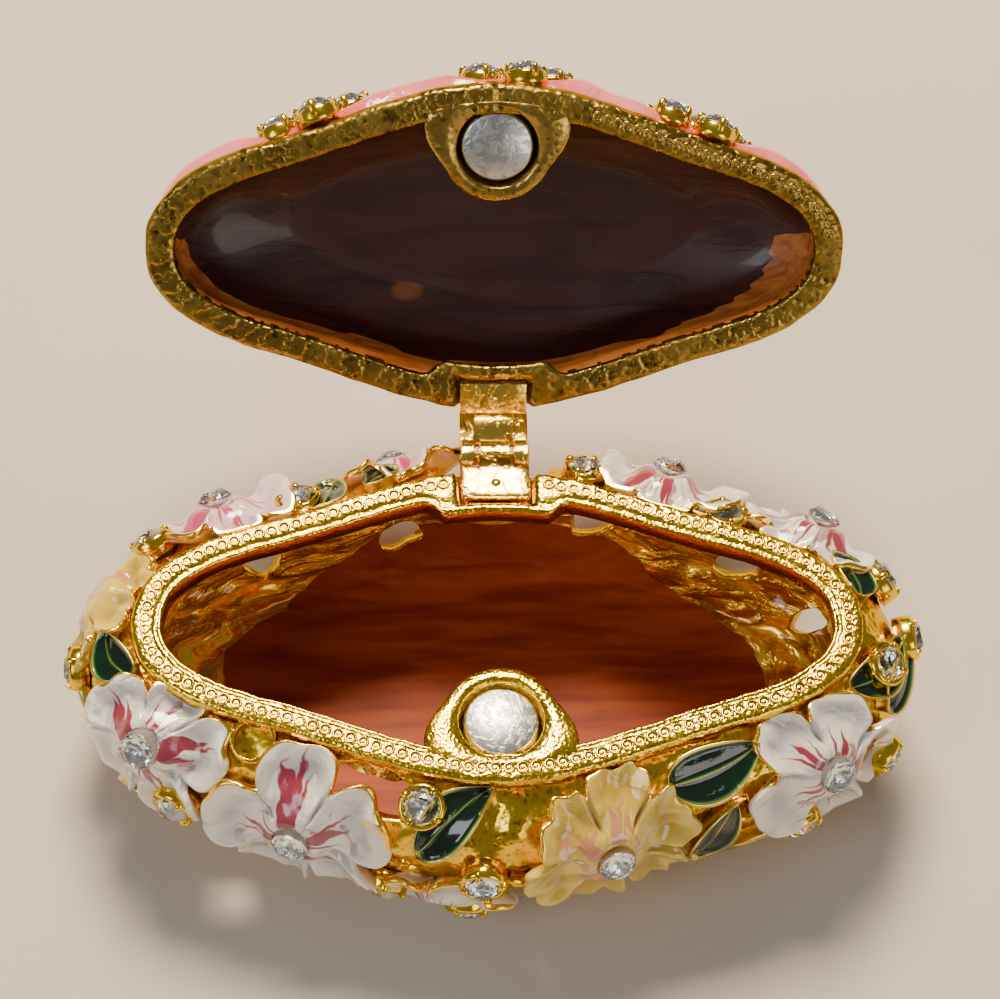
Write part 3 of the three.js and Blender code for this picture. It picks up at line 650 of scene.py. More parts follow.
@dataclass(frozen=True)
class LidLacquer:
    """The lid's inner enamel in painted light and shade: its shaded dark maroon over the ceiling,
    its lit orange along the wall.
    """

    name: str
    # Painted shade: the dark maroon is the inner enamel's shaded colour.
    light: tuple = (0.060, 0.0095, 0.0055, 1)
    deep: tuple = (0.030, 0.0048, 0.0034, 1)
    # Painted light: the orange is the same enamel's lit colour.
    bare: tuple = (0.66, 0.22, 0.040, 1)
    lit_orange_deep: tuple = (0.38, 0.09, 0.016, 1)

    def make(self) -> bpy.types.Material:
        """The material.

        Returns:
            The new material.
        """
        b = Bench(self.name, Coat__Weight=0.2, Coat__Roughness=0.06, Roughness=0.42)
        s = b.sheet
        b.place = s.node("ShaderNodeMapping", None, Vector=b.place,
                         Scale=(1.0, 5.0, 5.0)).outputs[0]
        dark = b.group(Groups.CLOUD, Scale=70.0, Low=0.38, High=0.66, Warp=0.7,
                       Colour__A=self.light, Colour__B=self.deep)
        warm = b.group(Groups.CLOUD, Scale=150.0, Low=0.35, High=0.7, Warp=0.9,
                       Colour__A=self.bare, Colour__B=self.lit_orange_deep)
        # The mark bare lays the lit orange over the shaded maroon.
        b.feed("Base Color", s.mix(s.step(s.mark("bare"), 0.4, 0.6), dark.outputs["Colour"],
                                   warm.outputs["Colour"]))
        b.bump(dark.outputs["Share"], 0.12, 0.5)
        return b.material


@dataclass(frozen=True)
class Polished:
    """Plain metal with fine scratches: the hinge, the rivets, the magnets and the foils."""

    name: str
    colour: tuple
    roughness: float = 0.18
    wear: tuple = (0.5, 0.5, 0.5, 1)
    wear_share: float = 0.3
    scale: float = 900.0
    depth: float = 0.03

    def make(self) -> bpy.types.Material:
        """The material.

        Returns:
            The new material.
        """
        b = Bench(self.name, Metallic=1.0)
        s = b.sheet
        cloud = b.group(Groups.CLOUD, Scale=self.scale, Low=0.45, High=0.6,
                        Colour__A=self.colour, Colour__B=self.wear)
        share = s.math("MULTIPLY", cloud.outputs["Share"], self.wear_share)
        b.feed("Base Color", s.mix(share, self.colour, cloud.outputs["Colour"]))
        b.feed("Roughness", s.step(share, 0.0, 1.0, self.roughness, min(1.0, self.roughness + 0.4)))
        b.bump(cloud.outputs["Share"], self.depth)
        return b.material


@dataclass(frozen=True)
class PinkDome:
    """The lid's thick pink glaze, deeper round the jewelled rosettes."""

    name: str
    pale: tuple = (0.84, 0.24, 0.25, 1)
    rich: tuple = (0.74, 0.07, 0.10, 1)

    def make(self) -> bpy.types.Material:
        """The material.

        Returns:
            The new material.
        """
        b = Bench(self.name, Roughness=0.14, Coat__Weight=0.8, Coat__Roughness=0.05)
        s = b.sheet
        middle = tuple(0.5 * a + 0.5 * c for a, c in zip(self.pale, self.rich))
        cloud = b.group(Groups.CLOUD, Scale=130.0, Low=0.4, High=0.7, Warp=1.2,
                        Colour__A=self.pale, Colour__B=middle)
        b.feed("Base Color", s.mix(s.mark("near"), cloud.outputs["Colour"], self.rich))
        b.bump(cloud.outputs["Share"], 0.15)
        return b.material


@dataclass(frozen=True)
class ClearStone:
    """Clear cut glass."""

    name: str
    tint: tuple = (0.97, 0.98, 1.0, 1)

    def make(self) -> bpy.types.Material:
        """The material, with the faintest cloud in its surface.

        Returns:
            The new material.
        """
        b = Bench(self.name, Base__Color=self.tint, Roughness=0.0, IOR=1.55,
                  Transmission__Weight=1.0)
        cloud = b.group(Groups.CLOUD, Scale=700.0, Low=0.3, High=0.9)
        b.bump(cloud.outputs["Share"], 0.002)
        return b.material


class Finishes:
    """Every material, made once."""

    def __init__(self) -> None:
        """Builds the shared groups and then the materials."""
        make_groups()
        self.gold = Gold("cast_gold", bright=(1.0, 0.62, 0.030, 1), deep=(0.26, 0.09, 0.002, 1),
                         roughness=0.24).make()
        self.rim = Gold("beaded_rim_gold", bright=(1.0, 0.68, 0.035, 1),
                        deep=(0.42, 0.18, 0.003, 1), roughness=0.20, grain=3400.0, lumps=900.0,
                        lump_share=0.25, depth=0.10).make()
        # Painted shade: the lid's rim, its lug and its beads get a gold darkened to olive.
        self.lid_rim = Gold("filed_rim_gold_painted_shade", bright=(0.36, 0.23, 0.045, 1),
                            deep=(0.05, 0.028, 0.005, 1), roughness=0.34, grain=1500.0,
                            lumps=600.0, depth=0.18, lines=0.16, contrast=0.95).make()
        self.lid_lug = Gold("lid_lug_gold_painted_shade", bright=(0.50, 0.32, 0.07, 1),
                            deep=(0.10, 0.045, 0.006, 1), roughness=0.3, grain=2000.0,
                            depth=0.12).make()
        self.lug = Gold("smooth_gold", bright=(1.0, 0.68, 0.045, 1), deep=(0.40, 0.16, 0.004, 1),
                        roughness=0.18, grain=2200.0, lump_share=0.7, depth=0.05).make()
        self.inside = InnerCoat("amber_and_brick_coat").make()
        self.lid_inner = LidLacquer("lid_enamel_painted_light_and_shade").make()
        self.white = Petals("white_petal_enamel").make()
        self.blush = Petals("blush_petal_enamel", light=(0.88, 0.68, 0.68, 1),
                            shade=(0.62, 0.30, 0.42, 1), streak=(0.55, 0.04, 0.13, 1),
                            breadth=0.5).make()
        self.yellow = Petals("yellow_petal_enamel", light=(0.80, 0.56, 0.07, 1),
                             shade=(0.48, 0.27, 0.02, 1), streak=(0.58, 0.17, 0.16, 1),
                             breadth=0.34, reach=0.5, streak_share=0.75, blots=1.0).make()
        self.leaf = LeafGreen("leaf_green_enamel").make()
        self.pink = PinkDome("pink_dome_enamel").make()
        self.brass = Polished("hinge_brass", colour=(1.0, 0.68, 0.12, 1),
                              wear=(0.60, 0.30, 0.04, 1), roughness=0.16).make()
        self.magnet = Polished("magnet_steel", colour=(0.62, 0.62, 0.62, 1),
                               wear=(0.40, 0.40, 0.39, 1), wear_share=0.45, roughness=0.28,
                               scale=1500.0, depth=0.012).make()
        self.foil = Polished("stone_foil", colour=(0.80, 0.82, 0.85, 1),
                             wear=(0.30, 0.28, 0.24, 1), wear_share=0.5, roughness=0.12,
                             scale=1200.0).make()
        self.stone = ClearStone("clear_stone").make()


# Rows and clusters made by geometry nodes.


class Repeater:
    """Copies of a small shape on marked points or along a path, made by geometry nodes."""

    def __init__(self) -> None:
        """Builds the two trees."""
        self.on_points = self._tree("shape_on_points", along_path=False)
        self.on_path = self._tree("shape_along_path", along_path=True)

    @staticmethod
    def _tree(name: str, along_path: bool) -> bpy.types.NodeTree:
        """A tree that places copies of a shape.

        Args:
            name: The tree's name.
            along_path: Whether the copies follow the edges as a path, at even steps.

        Returns:
            The tree, which ends in Realize Instances and Set Material.
        """
        tree = bpy.data.node_groups.new(name, "GeometryNodeTree")
        socket(tree, "Geometry", "INPUT", "NodeSocketGeometry")
        socket(tree, "Shape", "INPUT", "NodeSocketObject")
        socket(tree, "Size", "INPUT", FLOAT, 1.0)
        socket(tree, "Size Variation", "INPUT", FLOAT, 0.0)
        socket(tree, "Count", "INPUT", "NodeSocketInt", 10)
        socket(tree, "Seed", "INPUT", "NodeSocketInt", 1)
        socket(tree, "Finish", "INPUT", "NodeSocketMaterial")
        socket(tree, "Geometry", "OUTPUT", "NodeSocketGeometry")
        s = Sheet(tree)
        given, out = s.node("NodeGroupInput"), s.node("NodeGroupOutput")
        points = given.outputs["Geometry"]
        if along_path:
            curve = s.node("GeometryNodeMeshToCurve", None, Mesh=points).outputs[0]
            points = s.node("GeometryNodeResampleCurve", None, Curve=curve,
                            Count=given.outputs["Count"]).outputs[0]
        turn = s.node("GeometryNodeInputNamedAttribute", {"data_type": "FLOAT_VECTOR"},
                      Name="turn")
        rotation = s.node("FunctionNodeEulerToRotation", None, Euler=turn.outputs["Attribute"])
        size, variation = given.outputs["Size"], given.outputs["Size Variation"]
        chance = s.node("FunctionNodeRandomValue", {"data_type": "FLOAT"},
                        _2=s.math("SUBTRACT", size, variation), _3=s.math("ADD", size, variation),
                        Seed=given.outputs["Seed"])
        shape = s.node("GeometryNodeObjectInfo", {"transform_space": "ORIGINAL"},
                       Object=given.outputs["Shape"])
        copies = s.node("GeometryNodeInstanceOnPoints", None, Points=points,
                        Instance=shape.outputs["Geometry"], Rotation=rotation.outputs[0],
                        Scale=chance.outputs[1])
        whole = s.node("GeometryNodeRealizeInstances", None, Geometry=copies.outputs[0])
        dressed = s.node("GeometryNodeSetMaterial", None, Geometry=whole.outputs[0],
                         Material=given.outputs["Finish"])
        tree.links.new(dressed.outputs[0], out.inputs[0])
        return tree

    def make(self, name: str, carrier: bpy.types.Mesh, shape: bpy.types.Mesh,
             finish: bpy.types.Material, count: int = 0, variation: float = 0.0, seed: int = 3,
             flat: bool = False) -> bpy.types.Object:
        """Makes the copies as one plain mesh.

        Args:
            name: Name of the new piece.
            carrier: Points, or a path of edges when a count is given, each with its turn.
            shape: The shape to copy.
            finish: Its material.
            count: Copies along the path, or 0 to use the carrier's points.
            variation: How far the size of a copy may vary from 1.
            seed: Chooses the variation.
            flat: Whether the faces are shaded flat.

        Returns:
            The new object, with no modifier.
        """
        pattern = bpy.data.objects.new(name + "_pattern", shape)
        holder = bpy.data.objects.new(name + "_holder", carrier)
        for helper in (pattern, holder):
            bpy.context.scene.collection.objects.link(helper)
        tree = self.on_path if count else self.on_points
        modifier = holder.modifiers.new("copies", "NODES")
        modifier.node_group = tree
        values = {"Shape": pattern, "Size": 1.0, "Size Variation": variation,
                  "Count": count or 1, "Seed": seed, "Finish": finish}
        for item in tree.interface.items_tree:
            if item.in_out == "INPUT" and item.name in values:
                modifier[item.identifier] = values[item.name]
        holder.update_tag()
        bpy.context.view_layer.update()
        depsgraph = bpy.context.evaluated_depsgraph_get()
        whole = bpy.data.meshes.new_from_object(holder.evaluated_get(depsgraph))
        holder.modifiers.clear()
        for helper in (pattern, holder):
            bpy.data.objects.remove(helper)
        whole.name = name
        return make_piece(name, whole, [finish], flat)


def carrier_mesh(name: str, matrices: list[Matrix]) -> bpy.types.Mesh:
    """Points in metres that carry the turns of their copies.

    Args:
        name: The mesh's name.
        matrices: The place and turn of each copy, in millimetres.

    Returns:
        The new mesh.
    """
    mesh = bpy.data.meshes.new(name)
    mesh.from_pydata([tuple(m.translation * MM) for m in matrices], [], [])
    turns = np.array([tuple(m.to_euler()) for m in matrices], np.float32).reshape(-1)
    mesh.attributes.new("turn", "FLOAT_VECTOR", "POINT").data.foreach_set("vector", turns)
    return mesh


def path_mesh(name: str, points: np.ndarray) -> bpy.types.Mesh:
    """A closed path of edges in metres, lying flat.

    Args:
        name: The mesh's name.
        points: The path's points in millimetres.

    Returns:
        The new mesh.
    """
    mesh = bpy.data.meshes.new(name)
    count = len(points)
    mesh.from_pydata((points * MM).tolist(), [(i, (i + 1) % count) for i in range(count)], [])
    mesh.attributes.new("turn", "FLOAT_VECTOR", "POINT")
    return mesh


def lathe_mesh(name: str, profile: Profile, sides: int) -> bpy.types.Mesh:
    """A closed turned shape.

    Args:
        name: The mesh's name.
        profile: Rows of radius and height that start and end on the axis, or meet.
        sides: Faces round it.

    Returns:
        The new mesh, in metres.
    """
    draft = Draft()
    draft.grid(lathe(profile, sides), wrap=True)
    return draft.mesh(name)


# The surfaces that the pieces lie on.


@dataclass
class Belly:
    """The basket's belly as a surface: u is millimetres round from the front middle, v down."""

    mouth_length: float = 60.0
    mouth_depth: float = 23.0
    swell: float = 3.2
    swell_reach: float = 20.0
    power: float = 2.3
    height: float = 19.0
    rim_height: float = 1.8
    overhang: float = 4.9
    profile: tuple = (
        (0.000, -1.060, -0.060, 0.50), (0.058, -0.780, 0.140, 0.53), (0.174, -0.240, 0.470, 0.63),
        (0.337, 0.370, 0.800, 0.75), (0.512, 0.740, 1.000, 0.84), (0.686, 0.800, 1.000, 0.91),
        (0.849, 0.610, 0.780, 0.94), (0.948, 0.290, 0.350, 0.97), (1.000, -0.160, -0.160, 0.97),
    )
    widest: float = 0.6
    rim_ease: float = 1.6

    def __post_init__(self) -> None:
        """Measures the way round and the way down."""
        self.rows = np.array(self.profile)
        angles = np.linspace(-math.pi / 2, 1.5 * math.pi, 1441)
        round_line = self.bare(angles, np.full_like(angles, self.widest))
        self.round_angles = angles
        self.round_marks = self._running(round_line)
        shares = np.linspace(1, 0, 321)
        self.down_shares = shares
        self.down_marks = self._running(self.bare(np.full_like(shares, -math.pi / 4), shares))
        self.girth = self.round_marks[-1]
        self.drop = self.down_marks[-1]

    @staticmethod
    def _running(line: np.ndarray) -> np.ndarray:
        """Running length along a line of points."""
        return np.concatenate([[0], np.cumsum(np.linalg.norm(np.diff(line, axis=0), axis=1))])

    def oval(self, angle: np.ndarray, half_length: np.ndarray, half_depth: np.ndarray,
             swell: np.ndarray, z: np.ndarray) -> np.ndarray:
        """Points of the oval by angle.

        Args:
            angle: Angles round it.
            half_length: Half its length.
            half_depth: Half its depth, without the swell.
            swell: How far the middle of each long side stands out.
            z: The height.

        Returns:
            One point for each angle.
        """
        c, s = np.cos(angle), np.sin(angle)
        x = half_length * np.sign(c) * np.abs(c) ** (2 / self.power)
        y = half_depth * np.sign(s) * np.abs(s) ** (2 / self.power)
        bulge = np.where(np.abs(x) < self.swell_reach,
                         swell * (1 + np.cos(math.pi * x / self.swell_reach)) / 2, 0)
        z = np.broadcast_to(z, x.shape)
        return np.stack([x, y + np.sign(s) * bulge, z], -1)

    def bare(self, angle: np.ndarray, share: np.ndarray) -> np.ndarray:
        """Points of the belly.

        Args:
            angle: Angles round it.
            share: Shares of its profile from the foot up.

        Returns:
            One point for each angle and share.
        """
        row = catmull(self.rows, np.asarray(share))
        return self.oval(
            angle, self.mouth_length / 2 + row[..., 1] * self.overhang,
            self.mouth_depth / 2 + row[..., 2] * self.overhang, row[..., 3] * self.swell,
            row[..., 0] * (self.height - self.rim_height),
        )

    def normal(self, angle: np.ndarray, share: np.ndarray) -> np.ndarray:
        """The belly's outward direction.

        Args:
            angle: Angles round it.
            share: Shares of its profile from the foot up.

        Returns:
            One unit vector for each angle and share.
        """
        step = 0.01
        across = self.bare(angle + step, share) - self.bare(angle - step, share)
        above, below = np.minimum(share + step, 1), np.maximum(share - step, 0)
        up = self.bare(angle, above) - self.bare(angle, below)
        n = np.cross(across, up)
        return n / np.maximum(np.linalg.norm(n, axis=-1, keepdims=True), 1e-9)

    def at(self, angle: np.ndarray, share: np.ndarray, lift: np.ndarray = 0.0) -> np.ndarray:
        """Points of the belly raised along its normal.

        Args:
            angle: Angles round it.
            share: Shares of its profile from the foot up.
            lift: Millimetres out along the normal.

        Returns:
            One point for each angle and share.
        """
        angle, share = np.broadcast_arrays(np.asarray(angle, float), np.asarray(share, float))
        raised = self.normal(angle, share) * np.asarray(lift)[..., None]
        return self.bare(angle, share) + raised

    def angle_of(self, u: np.ndarray) -> np.ndarray:
        """The angle of a way round."""
        return np.interp(np.mod(u, self.girth), self.round_marks, self.round_angles)

    def on(self, u: np.ndarray, v: np.ndarray, lift: np.ndarray = 0.0) -> np.ndarray:
        """Points on the belly, kept clear of its foot and of the rim.

        Args:
            u: Millimetres round.
            v: Millimetres down; what would pass the rim is squeezed in below it.
            lift: Millimetres out along the normal.

        Returns:
            One point for each u and v.
        """
        v, ease = np.asarray(v, float), self.rim_ease
        v = np.where(v < ease, ease * np.exp((v - ease) / ease), v)
        share = np.interp(np.clip(v, 0.1, self.drop - 0.4), self.down_marks, self.down_shares)
        points = self.at(self.angle_of(np.asarray(u, float)), share, lift)
        points[..., 2] = np.clip(points[..., 2], 0.5, self.height - 0.3)
        return points

    def frame_at(self, u: float, v: float, lift: float = 0.0, spin: float = 0.0) -> Matrix:
        """The frame of a setting on the belly, with Z along the normal.

        Args:
            u: Millimetres round.
            v: Millimetres down.
            lift: Millimetres out along the normal.
            spin: Turn about the normal.

        Returns:
            The frame, in millimetres.
        """
        foot = self.on(u, v)
        ahead = self.on(u, v, 1.0) - foot
        normal = Vector(ahead / np.linalg.norm(ahead))
        turn = Vector((0, 0, 1)).rotation_difference(normal).to_matrix().to_4x4()
        place = Matrix.Translation(Vector(foot) + normal * lift)
        return place @ turn @ Matrix.Rotation(spin, 4, "Z")

    def mouth(self, inset: np.ndarray, z: np.ndarray, angles: np.ndarray) -> np.ndarray:
        """A ring of the mouth's outline, moved inward."""
        return self.oval(angles, self.mouth_length / 2 - inset, self.mouth_depth / 2 - inset,
                         self.swell, z)


@dataclass(frozen=True)
class Spot:
    """A flower, bud or single setting on the belly: its place, size and petals."""

    u: float
    v: float
    radius: float = 0.0
    petals: int = 0
    turn: float = 0.0
    rise: float = 1.0
    top: float = 1.2
    kind: str = "white"


@dataclass(frozen=True)
class Blade:
    """A leaf or an opening on the belly: its place, direction, length and width."""

    u: float
    v: float
    turn: float
    length: float
    width: float


FLOWERS = (
    Spot(-31, 5.2, 6.9, 5, 0.3, 1.0, 1.6), Spot(-17, 8.4, 8.3, 5, 0.15, 1.1, 1.7),
    Spot(9, 7.4, 7.4, 6, 0.2, 1.0, 1.6, "yellow"), Spot(28.6, 6.4, 7.3, 5, -0.3, 1.1, 1.6),
    Spot(55, 4.8, 6.9, 5, 0.5, 1.5, 2.3), Spot(69, 4.6, 6.9, 5, 0.1, 1.6, 2.43),
    Spot(-59.5, 4.8, 6.3, 5, 0.4, 1.4, 2.1, "blush"),
    Spot(-76, 8.0, 6.0, 5, 0.2, 1.2, 1.7, "blush"),
)
BUDS = (Spot(-4.5, 14.6, 5.8, 5, 0.6), Spot(-46.5, 5.6, 6.1, 5, 0.9, kind="yellow"))
COLLARED = (
    Spot(-6.8, 2.7, top=1.1), Spot(-1.4, 8.2, top=1.15), Spot(-9.6, 13, top=1.15),
    Spot(-2.6, 15.4, top=1.7), Spot(-27.2, 9.2, top=1.2), Spot(-42, 8.8, top=1.25),
    Spot(-49.6, 10.4, top=1.15), Spot(-53.2, 5, top=1.25), Spot(-66, 2.6, top=1.2),
    Spot(26.4, 12.4, top=1.2), Spot(34.8, 10.6, top=1.2), Spot(38.6, 3, top=1.15),
    Spot(43.4, 6.8, top=1.4), Spot(48.4, 5.6, top=1.25), Spot(62.4, 1.9, top=1.15),
    Spot(76.2, 2.6, top=1.15),
)
EMPTY = Spot(-22.8, 1.6, top=1.2)
LEAVES = (
    Blade(-6.6, 6.2, -0.78, 8, 3), Blade(14.6, 3.2, -0.12, 8.6, 3.2),
    Blade(17, 12.8, -1.2, 7.4, 3), Blade(20.6, 13.8, -0.62, 7, 2.8),
    Blade(-36.6, 1.8, 2.95, 5.6, 2.6), Blade(34.4, 1.6, 0.3, 8, 2.8),
    Blade(35.6, 5.4, 0.12, 8.2, 2.8), Blade(46.2, 1.6, 0.1, 5.6, 2.6),
    Blade(-69.8, 4.8, -0.9, 5.4, 2.8), Blade(-75.6, 3.6, -0.5, 4, 2.2),
    Blade(61.6, 4.4, -0.8, 5, 2.6), Blade(-29, 12.2, 2.7, 7, 3),
    Blade(-39.6, 12.8, -2.6, 6.4, 2.8), Blade(36.8, 12.6, 0.5, 7, 3),
)
OPENINGS = (
    Blade(-11.6, 2.7, -0.05, 9.4, 4.4), Blade(-8.6, 9.6, 0.9, 4.4, 3),
    Blade(1.6, 9.4, 1.4, 4, 2.8), Blade(19.6, 7.6, 0.4, 4.2, 3),
    Blade(3.4, 13.8, 0.3, 4.4, 3.2), Blade(-25, 14, 0.5, 4, 3),
    Blade(-38.8, 8.6, 1.4, 4.4, 3), Blade(41, 10.6, 0.2, 4.4, 3),
    Blade(61, 12.8, 0.2, 4.4, 3), Blade(75, 12.4, 0.6, 4.2, 3.2),
    Blade(-62.5, 12.6, 1.0, 4.2, 3.4), Blade(-75.4, 14.2, 0.2, 4.4, 3.2),
    Blade(51.5, 15.0, 1.4, 3.6, 2.8),
)


@dataclass(frozen=True)
class Lug:
    """The round lug that holds a catch magnet, the same on the basket and on the lid."""

    y: float = -9.2
    radius: float = 4.8
    height: float = 4.0
    pocket: float = 3.45
    depth: float = 2.65
    flare: float = 1.9
    sides: int = 72

    def add(self, draft: Draft, level: float, side: int, front: float) -> None:
        """Adds the lug, its outer edge flared towards the rim behind it.

        Args:
            draft: The draft to add to.
            level: Height of its face on the closed box.
            side: -1 if the lug hangs below its face, 1 if it stands above it.
            front: The least y that the lug may reach.
        """
        angles = np.linspace(0, 2 * math.pi, self.sides, endpoint=False)
        away = np.abs(np.mod(angles - math.pi / 2 + math.pi, 2 * math.pi) - math.pi)
        flare = self.flare * smooth(math.radians(62), math.radians(118), away) * smooth(
            math.radians(176), math.radians(128), away)
        radius, pocket, height, depth = self.radius, self.pocket, self.height, self.depth
        rows = [(0, height, 0), (radius - 1.2, height, 0.4), (radius - 0.5, height - 0.15, 0.6),
                (radius - 0.05, height - 0.7, 0.8), (radius, 0.5, 1), (radius - 0.1, 0.16, 1),
                (radius - 0.35, 0.02, 1), (radius - 0.8, -0.06, 0.5), (pocket + 0.12, -0.03, 0),
                (pocket, 0.12, 0), (pocket, depth, 0), (0, depth, 0)]
        rings = []
        for reach, down, part in rows:
            r = reach + flare * part
            rings.append(np.stack([r * np.cos(angles), r * np.sin(angles),
                                   np.full(self.sides, side * down)], -1))
        points = np.stack(rings)
        points[..., 2] += 0.04 * hash_noise(points, 0.9, 31) * (np.abs(points[..., 2]) < 0.4)
        points = turned(points, Matrix.Translation((0, self.y, level)))
        edge = front + 0.45 * (np.abs(points[..., 0]) / 4) ** 2
        points[..., 1] = np.maximum(points[..., 1], edge)
        draft.grid(points, wrap=True)


# The basket.


@dataclass
class Basket:
    """The gilded basket: its pierced belly, beaded rim, magnet lug and enamelled floor."""

    belly: Belly
    finishes: Finishes
    repeater: Repeater
    wall: float = 1.5
    wall_foot: float = 0.24
    wall_top: float = 0.93
    floor: float = 3.0
    rim_width: float = 2.5
    columns: int = 420
    rows: int = 46
    bay_half: float = 4.05
    bay_front: float = 15.45
    bay_low: float = 11.8
    bay_ease: float = 0.9
    lug_front: float = -13.4
    bead_size: float = 0.52
    bead_count: int = 118
    notch_width: float = 1.6

    def _holes(self, u: np.ndarray, v: np.ndarray) -> tuple[np.ndarray, np.ndarray, np.ndarray]:
        """How far each place is from the openings.

        Args:
            u: Millimetres round.
            v: Millimetres down.

        Returns:
            The least size share of any opening, and u and v moved onto that opening's edge.
        """
        best = np.full(u.shape, 9.0)
        edge_u, edge_v = u.copy(), v.copy()
        for hole in OPENINGS:
            du = np.mod(u - hole.u + self.belly.girth / 2, self.belly.girth) - self.belly.girth / 2
            dv = v - hole.v
            c, s = math.cos(hole.turn), math.sin(hole.turn)
            a = (du * c + dv * s) / (hole.length / 2)
            b = (-du * s + dv * c) / (hole.width / 2)
            swing = np.arctan2(b, a)
            wobble = 1 + 0.09 * np.sin(3 * swing + hole.u) + 0.05 * np.sin(5 * swing + hole.v)
            share = (np.abs(a) ** 2.4 + np.abs(b) ** 2.4) ** (1 / 2.4) / wobble
            closer = share < best
            best = np.where(closer, share, best)
            scale = 1 / np.maximum(share, 1e-6)
            edge_u = np.where(closer, hole.u + du * scale, edge_u)
            edge_v = np.where(closer, hole.v + dv * scale, edge_v)
        return best, edge_u, edge_v

    def _bay(self, points: np.ndarray, front: float) -> np.ndarray:
        """Flattens the back into the bay that the hinge's knuckles turn in.

        Args:
            points: Points of the wall or the rim.
            front: The y of the bay's flat back.

        Returns:
            The changed points.
        """
        x, y, z = points[..., 0], points[..., 1], points[..., 2]
        inside = smooth(self.bay_half + self.bay_ease, self.bay_half, np.abs(x)) * smooth(
            self.bay_low - self.bay_ease, self.bay_low, z)
        flat = np.minimum(y, front)
        points[..., 1] = np.where(y > 0, y + (flat - y) * inside, y)
        return points

    def casting(self) -> bpy.types.Object:
        """The belly, foot, rim and inner wall as one closed casting with its openings cut.

        Returns:
            The finished piece.
        """
        b, draft = self.belly, Draft()
        u = np.linspace(0, b.girth, self.columns, endpoint=False)
        shares = np.linspace(0, 1, self.rows)
        v_rows = np.interp(-shares, -b.down_shares, b.down_marks)
        uu, vv = np.meshgrid(u, v_rows)
        size, edge_u, edge_v = self._holes(uu, vv)
        lost = (size < 1.0) & np.roll(size < 1.0, -1, 1)
        open_cell = lost[:-1] & lost[1:]
        kept_cell = ~open_cell
        around = np.zeros(lost.shape, int)
        for rows in (around[:-1], around[1:]):
            rows += open_cell.astype(int) + np.roll(open_cell, 1, 1)
        on_edge = (around > 0) & (around < 4)
        uu = np.where(on_edge, edge_u, uu)
        vv = np.where(on_edge, edge_v, vv)
        angle = b.angle_of(uu)
        share = np.interp(np.clip(vv, 0, b.drop), b.down_marks, b.down_shares)
        base = b.at(angle, share)
        relief = 0.30 * hash_noise(base, 2.4, 2) + 0.16 * hash_noise(base, 1.0, 5)
        calm = smooth(0.0, 0.06, share) * smooth(1.0, 0.93, share)
        outer = self._bay(b.at(angle, share, relief * calm), self.bay_front)
        fibres = base * np.array([0.45, 0.45, 1.5])
        fibres[..., 2] += 0.25 * base[..., 0]
        wrinkle = 0.42 * hash_noise(fibres, 1.5, 7) + 0.2 * hash_noise(fibres, 0.6, 9)
        wrinkle *= smooth(3.6, 5.4, np.abs(base[..., 0]) + 20 * (base[..., 1] < 0))
        inner = self._bay(b.at(angle, share, -self.wall + wrinkle * calm),
                          self.bay_front - self.wall)

        first_inner = int(np.searchsorted(shares, self.wall_foot))
        last_inner = int(np.searchsorted(shares, self.wall_top))
        count = np.arange(outer[..., 0].size).reshape(outer.shape[:2])
        index = draft.add_points(outer) + count
        # The mark bay carries the painted sheen on the wall behind the hinge.
        index_in = draft.add_points(inner, {
            "floor": self._brick(inner), "bay": self._painted_sheen_behind_hinge(inner)}) + count
        right, right_in = np.roll(index, -1, 1), np.roll(index_in, -1, 1)
        quads = np.stack([index[:-1], right[:-1], right[1:], index[1:]], -1)
        quads_in = np.stack([index_in[1:], right_in[1:], right_in[:-1], index_in[:-1]], -1)
        draft.add_faces(quads[kept_cell], 0)
        inner_keep = kept_cell.copy()
        inner_keep[:first_inner] = False
        inner_keep[last_inner:] = False
        draft.add_faces(quads_in[inner_keep], 1)
        sills = np.stack([index[1:-1], right[1:-1], right_in[1:-1], index_in[1:-1]], -1)
        draft.add_faces(sills[kept_cell[1:] != kept_cell[:-1]], 0)
        jambs = np.stack([index[:-1], index[1:], index_in[1:], index_in[:-1]], -1)
        draft.add_faces(jambs[kept_cell != np.roll(kept_cell, 1, 1)], 0)

        angles = b.angle_of(u)
        self._foot(draft, base[0])
        ring = self._rim(base[-1], inner[last_inner], angles)
        draft.grid(ring[:-1], wrap=True, finish=2, marks={"run": u})
        draft.grid(ring[-2:], wrap=True, finish=1)
        self._inside_floor(draft, inner[first_inner])
        mesh = draft.mesh("basket_casting")
        f = self.finishes
        piece = make_piece("basket_casting", mesh, [f.gold, f.inside, f.rim])
        return settle(piece, "base", "cast_gold", "basket_body")

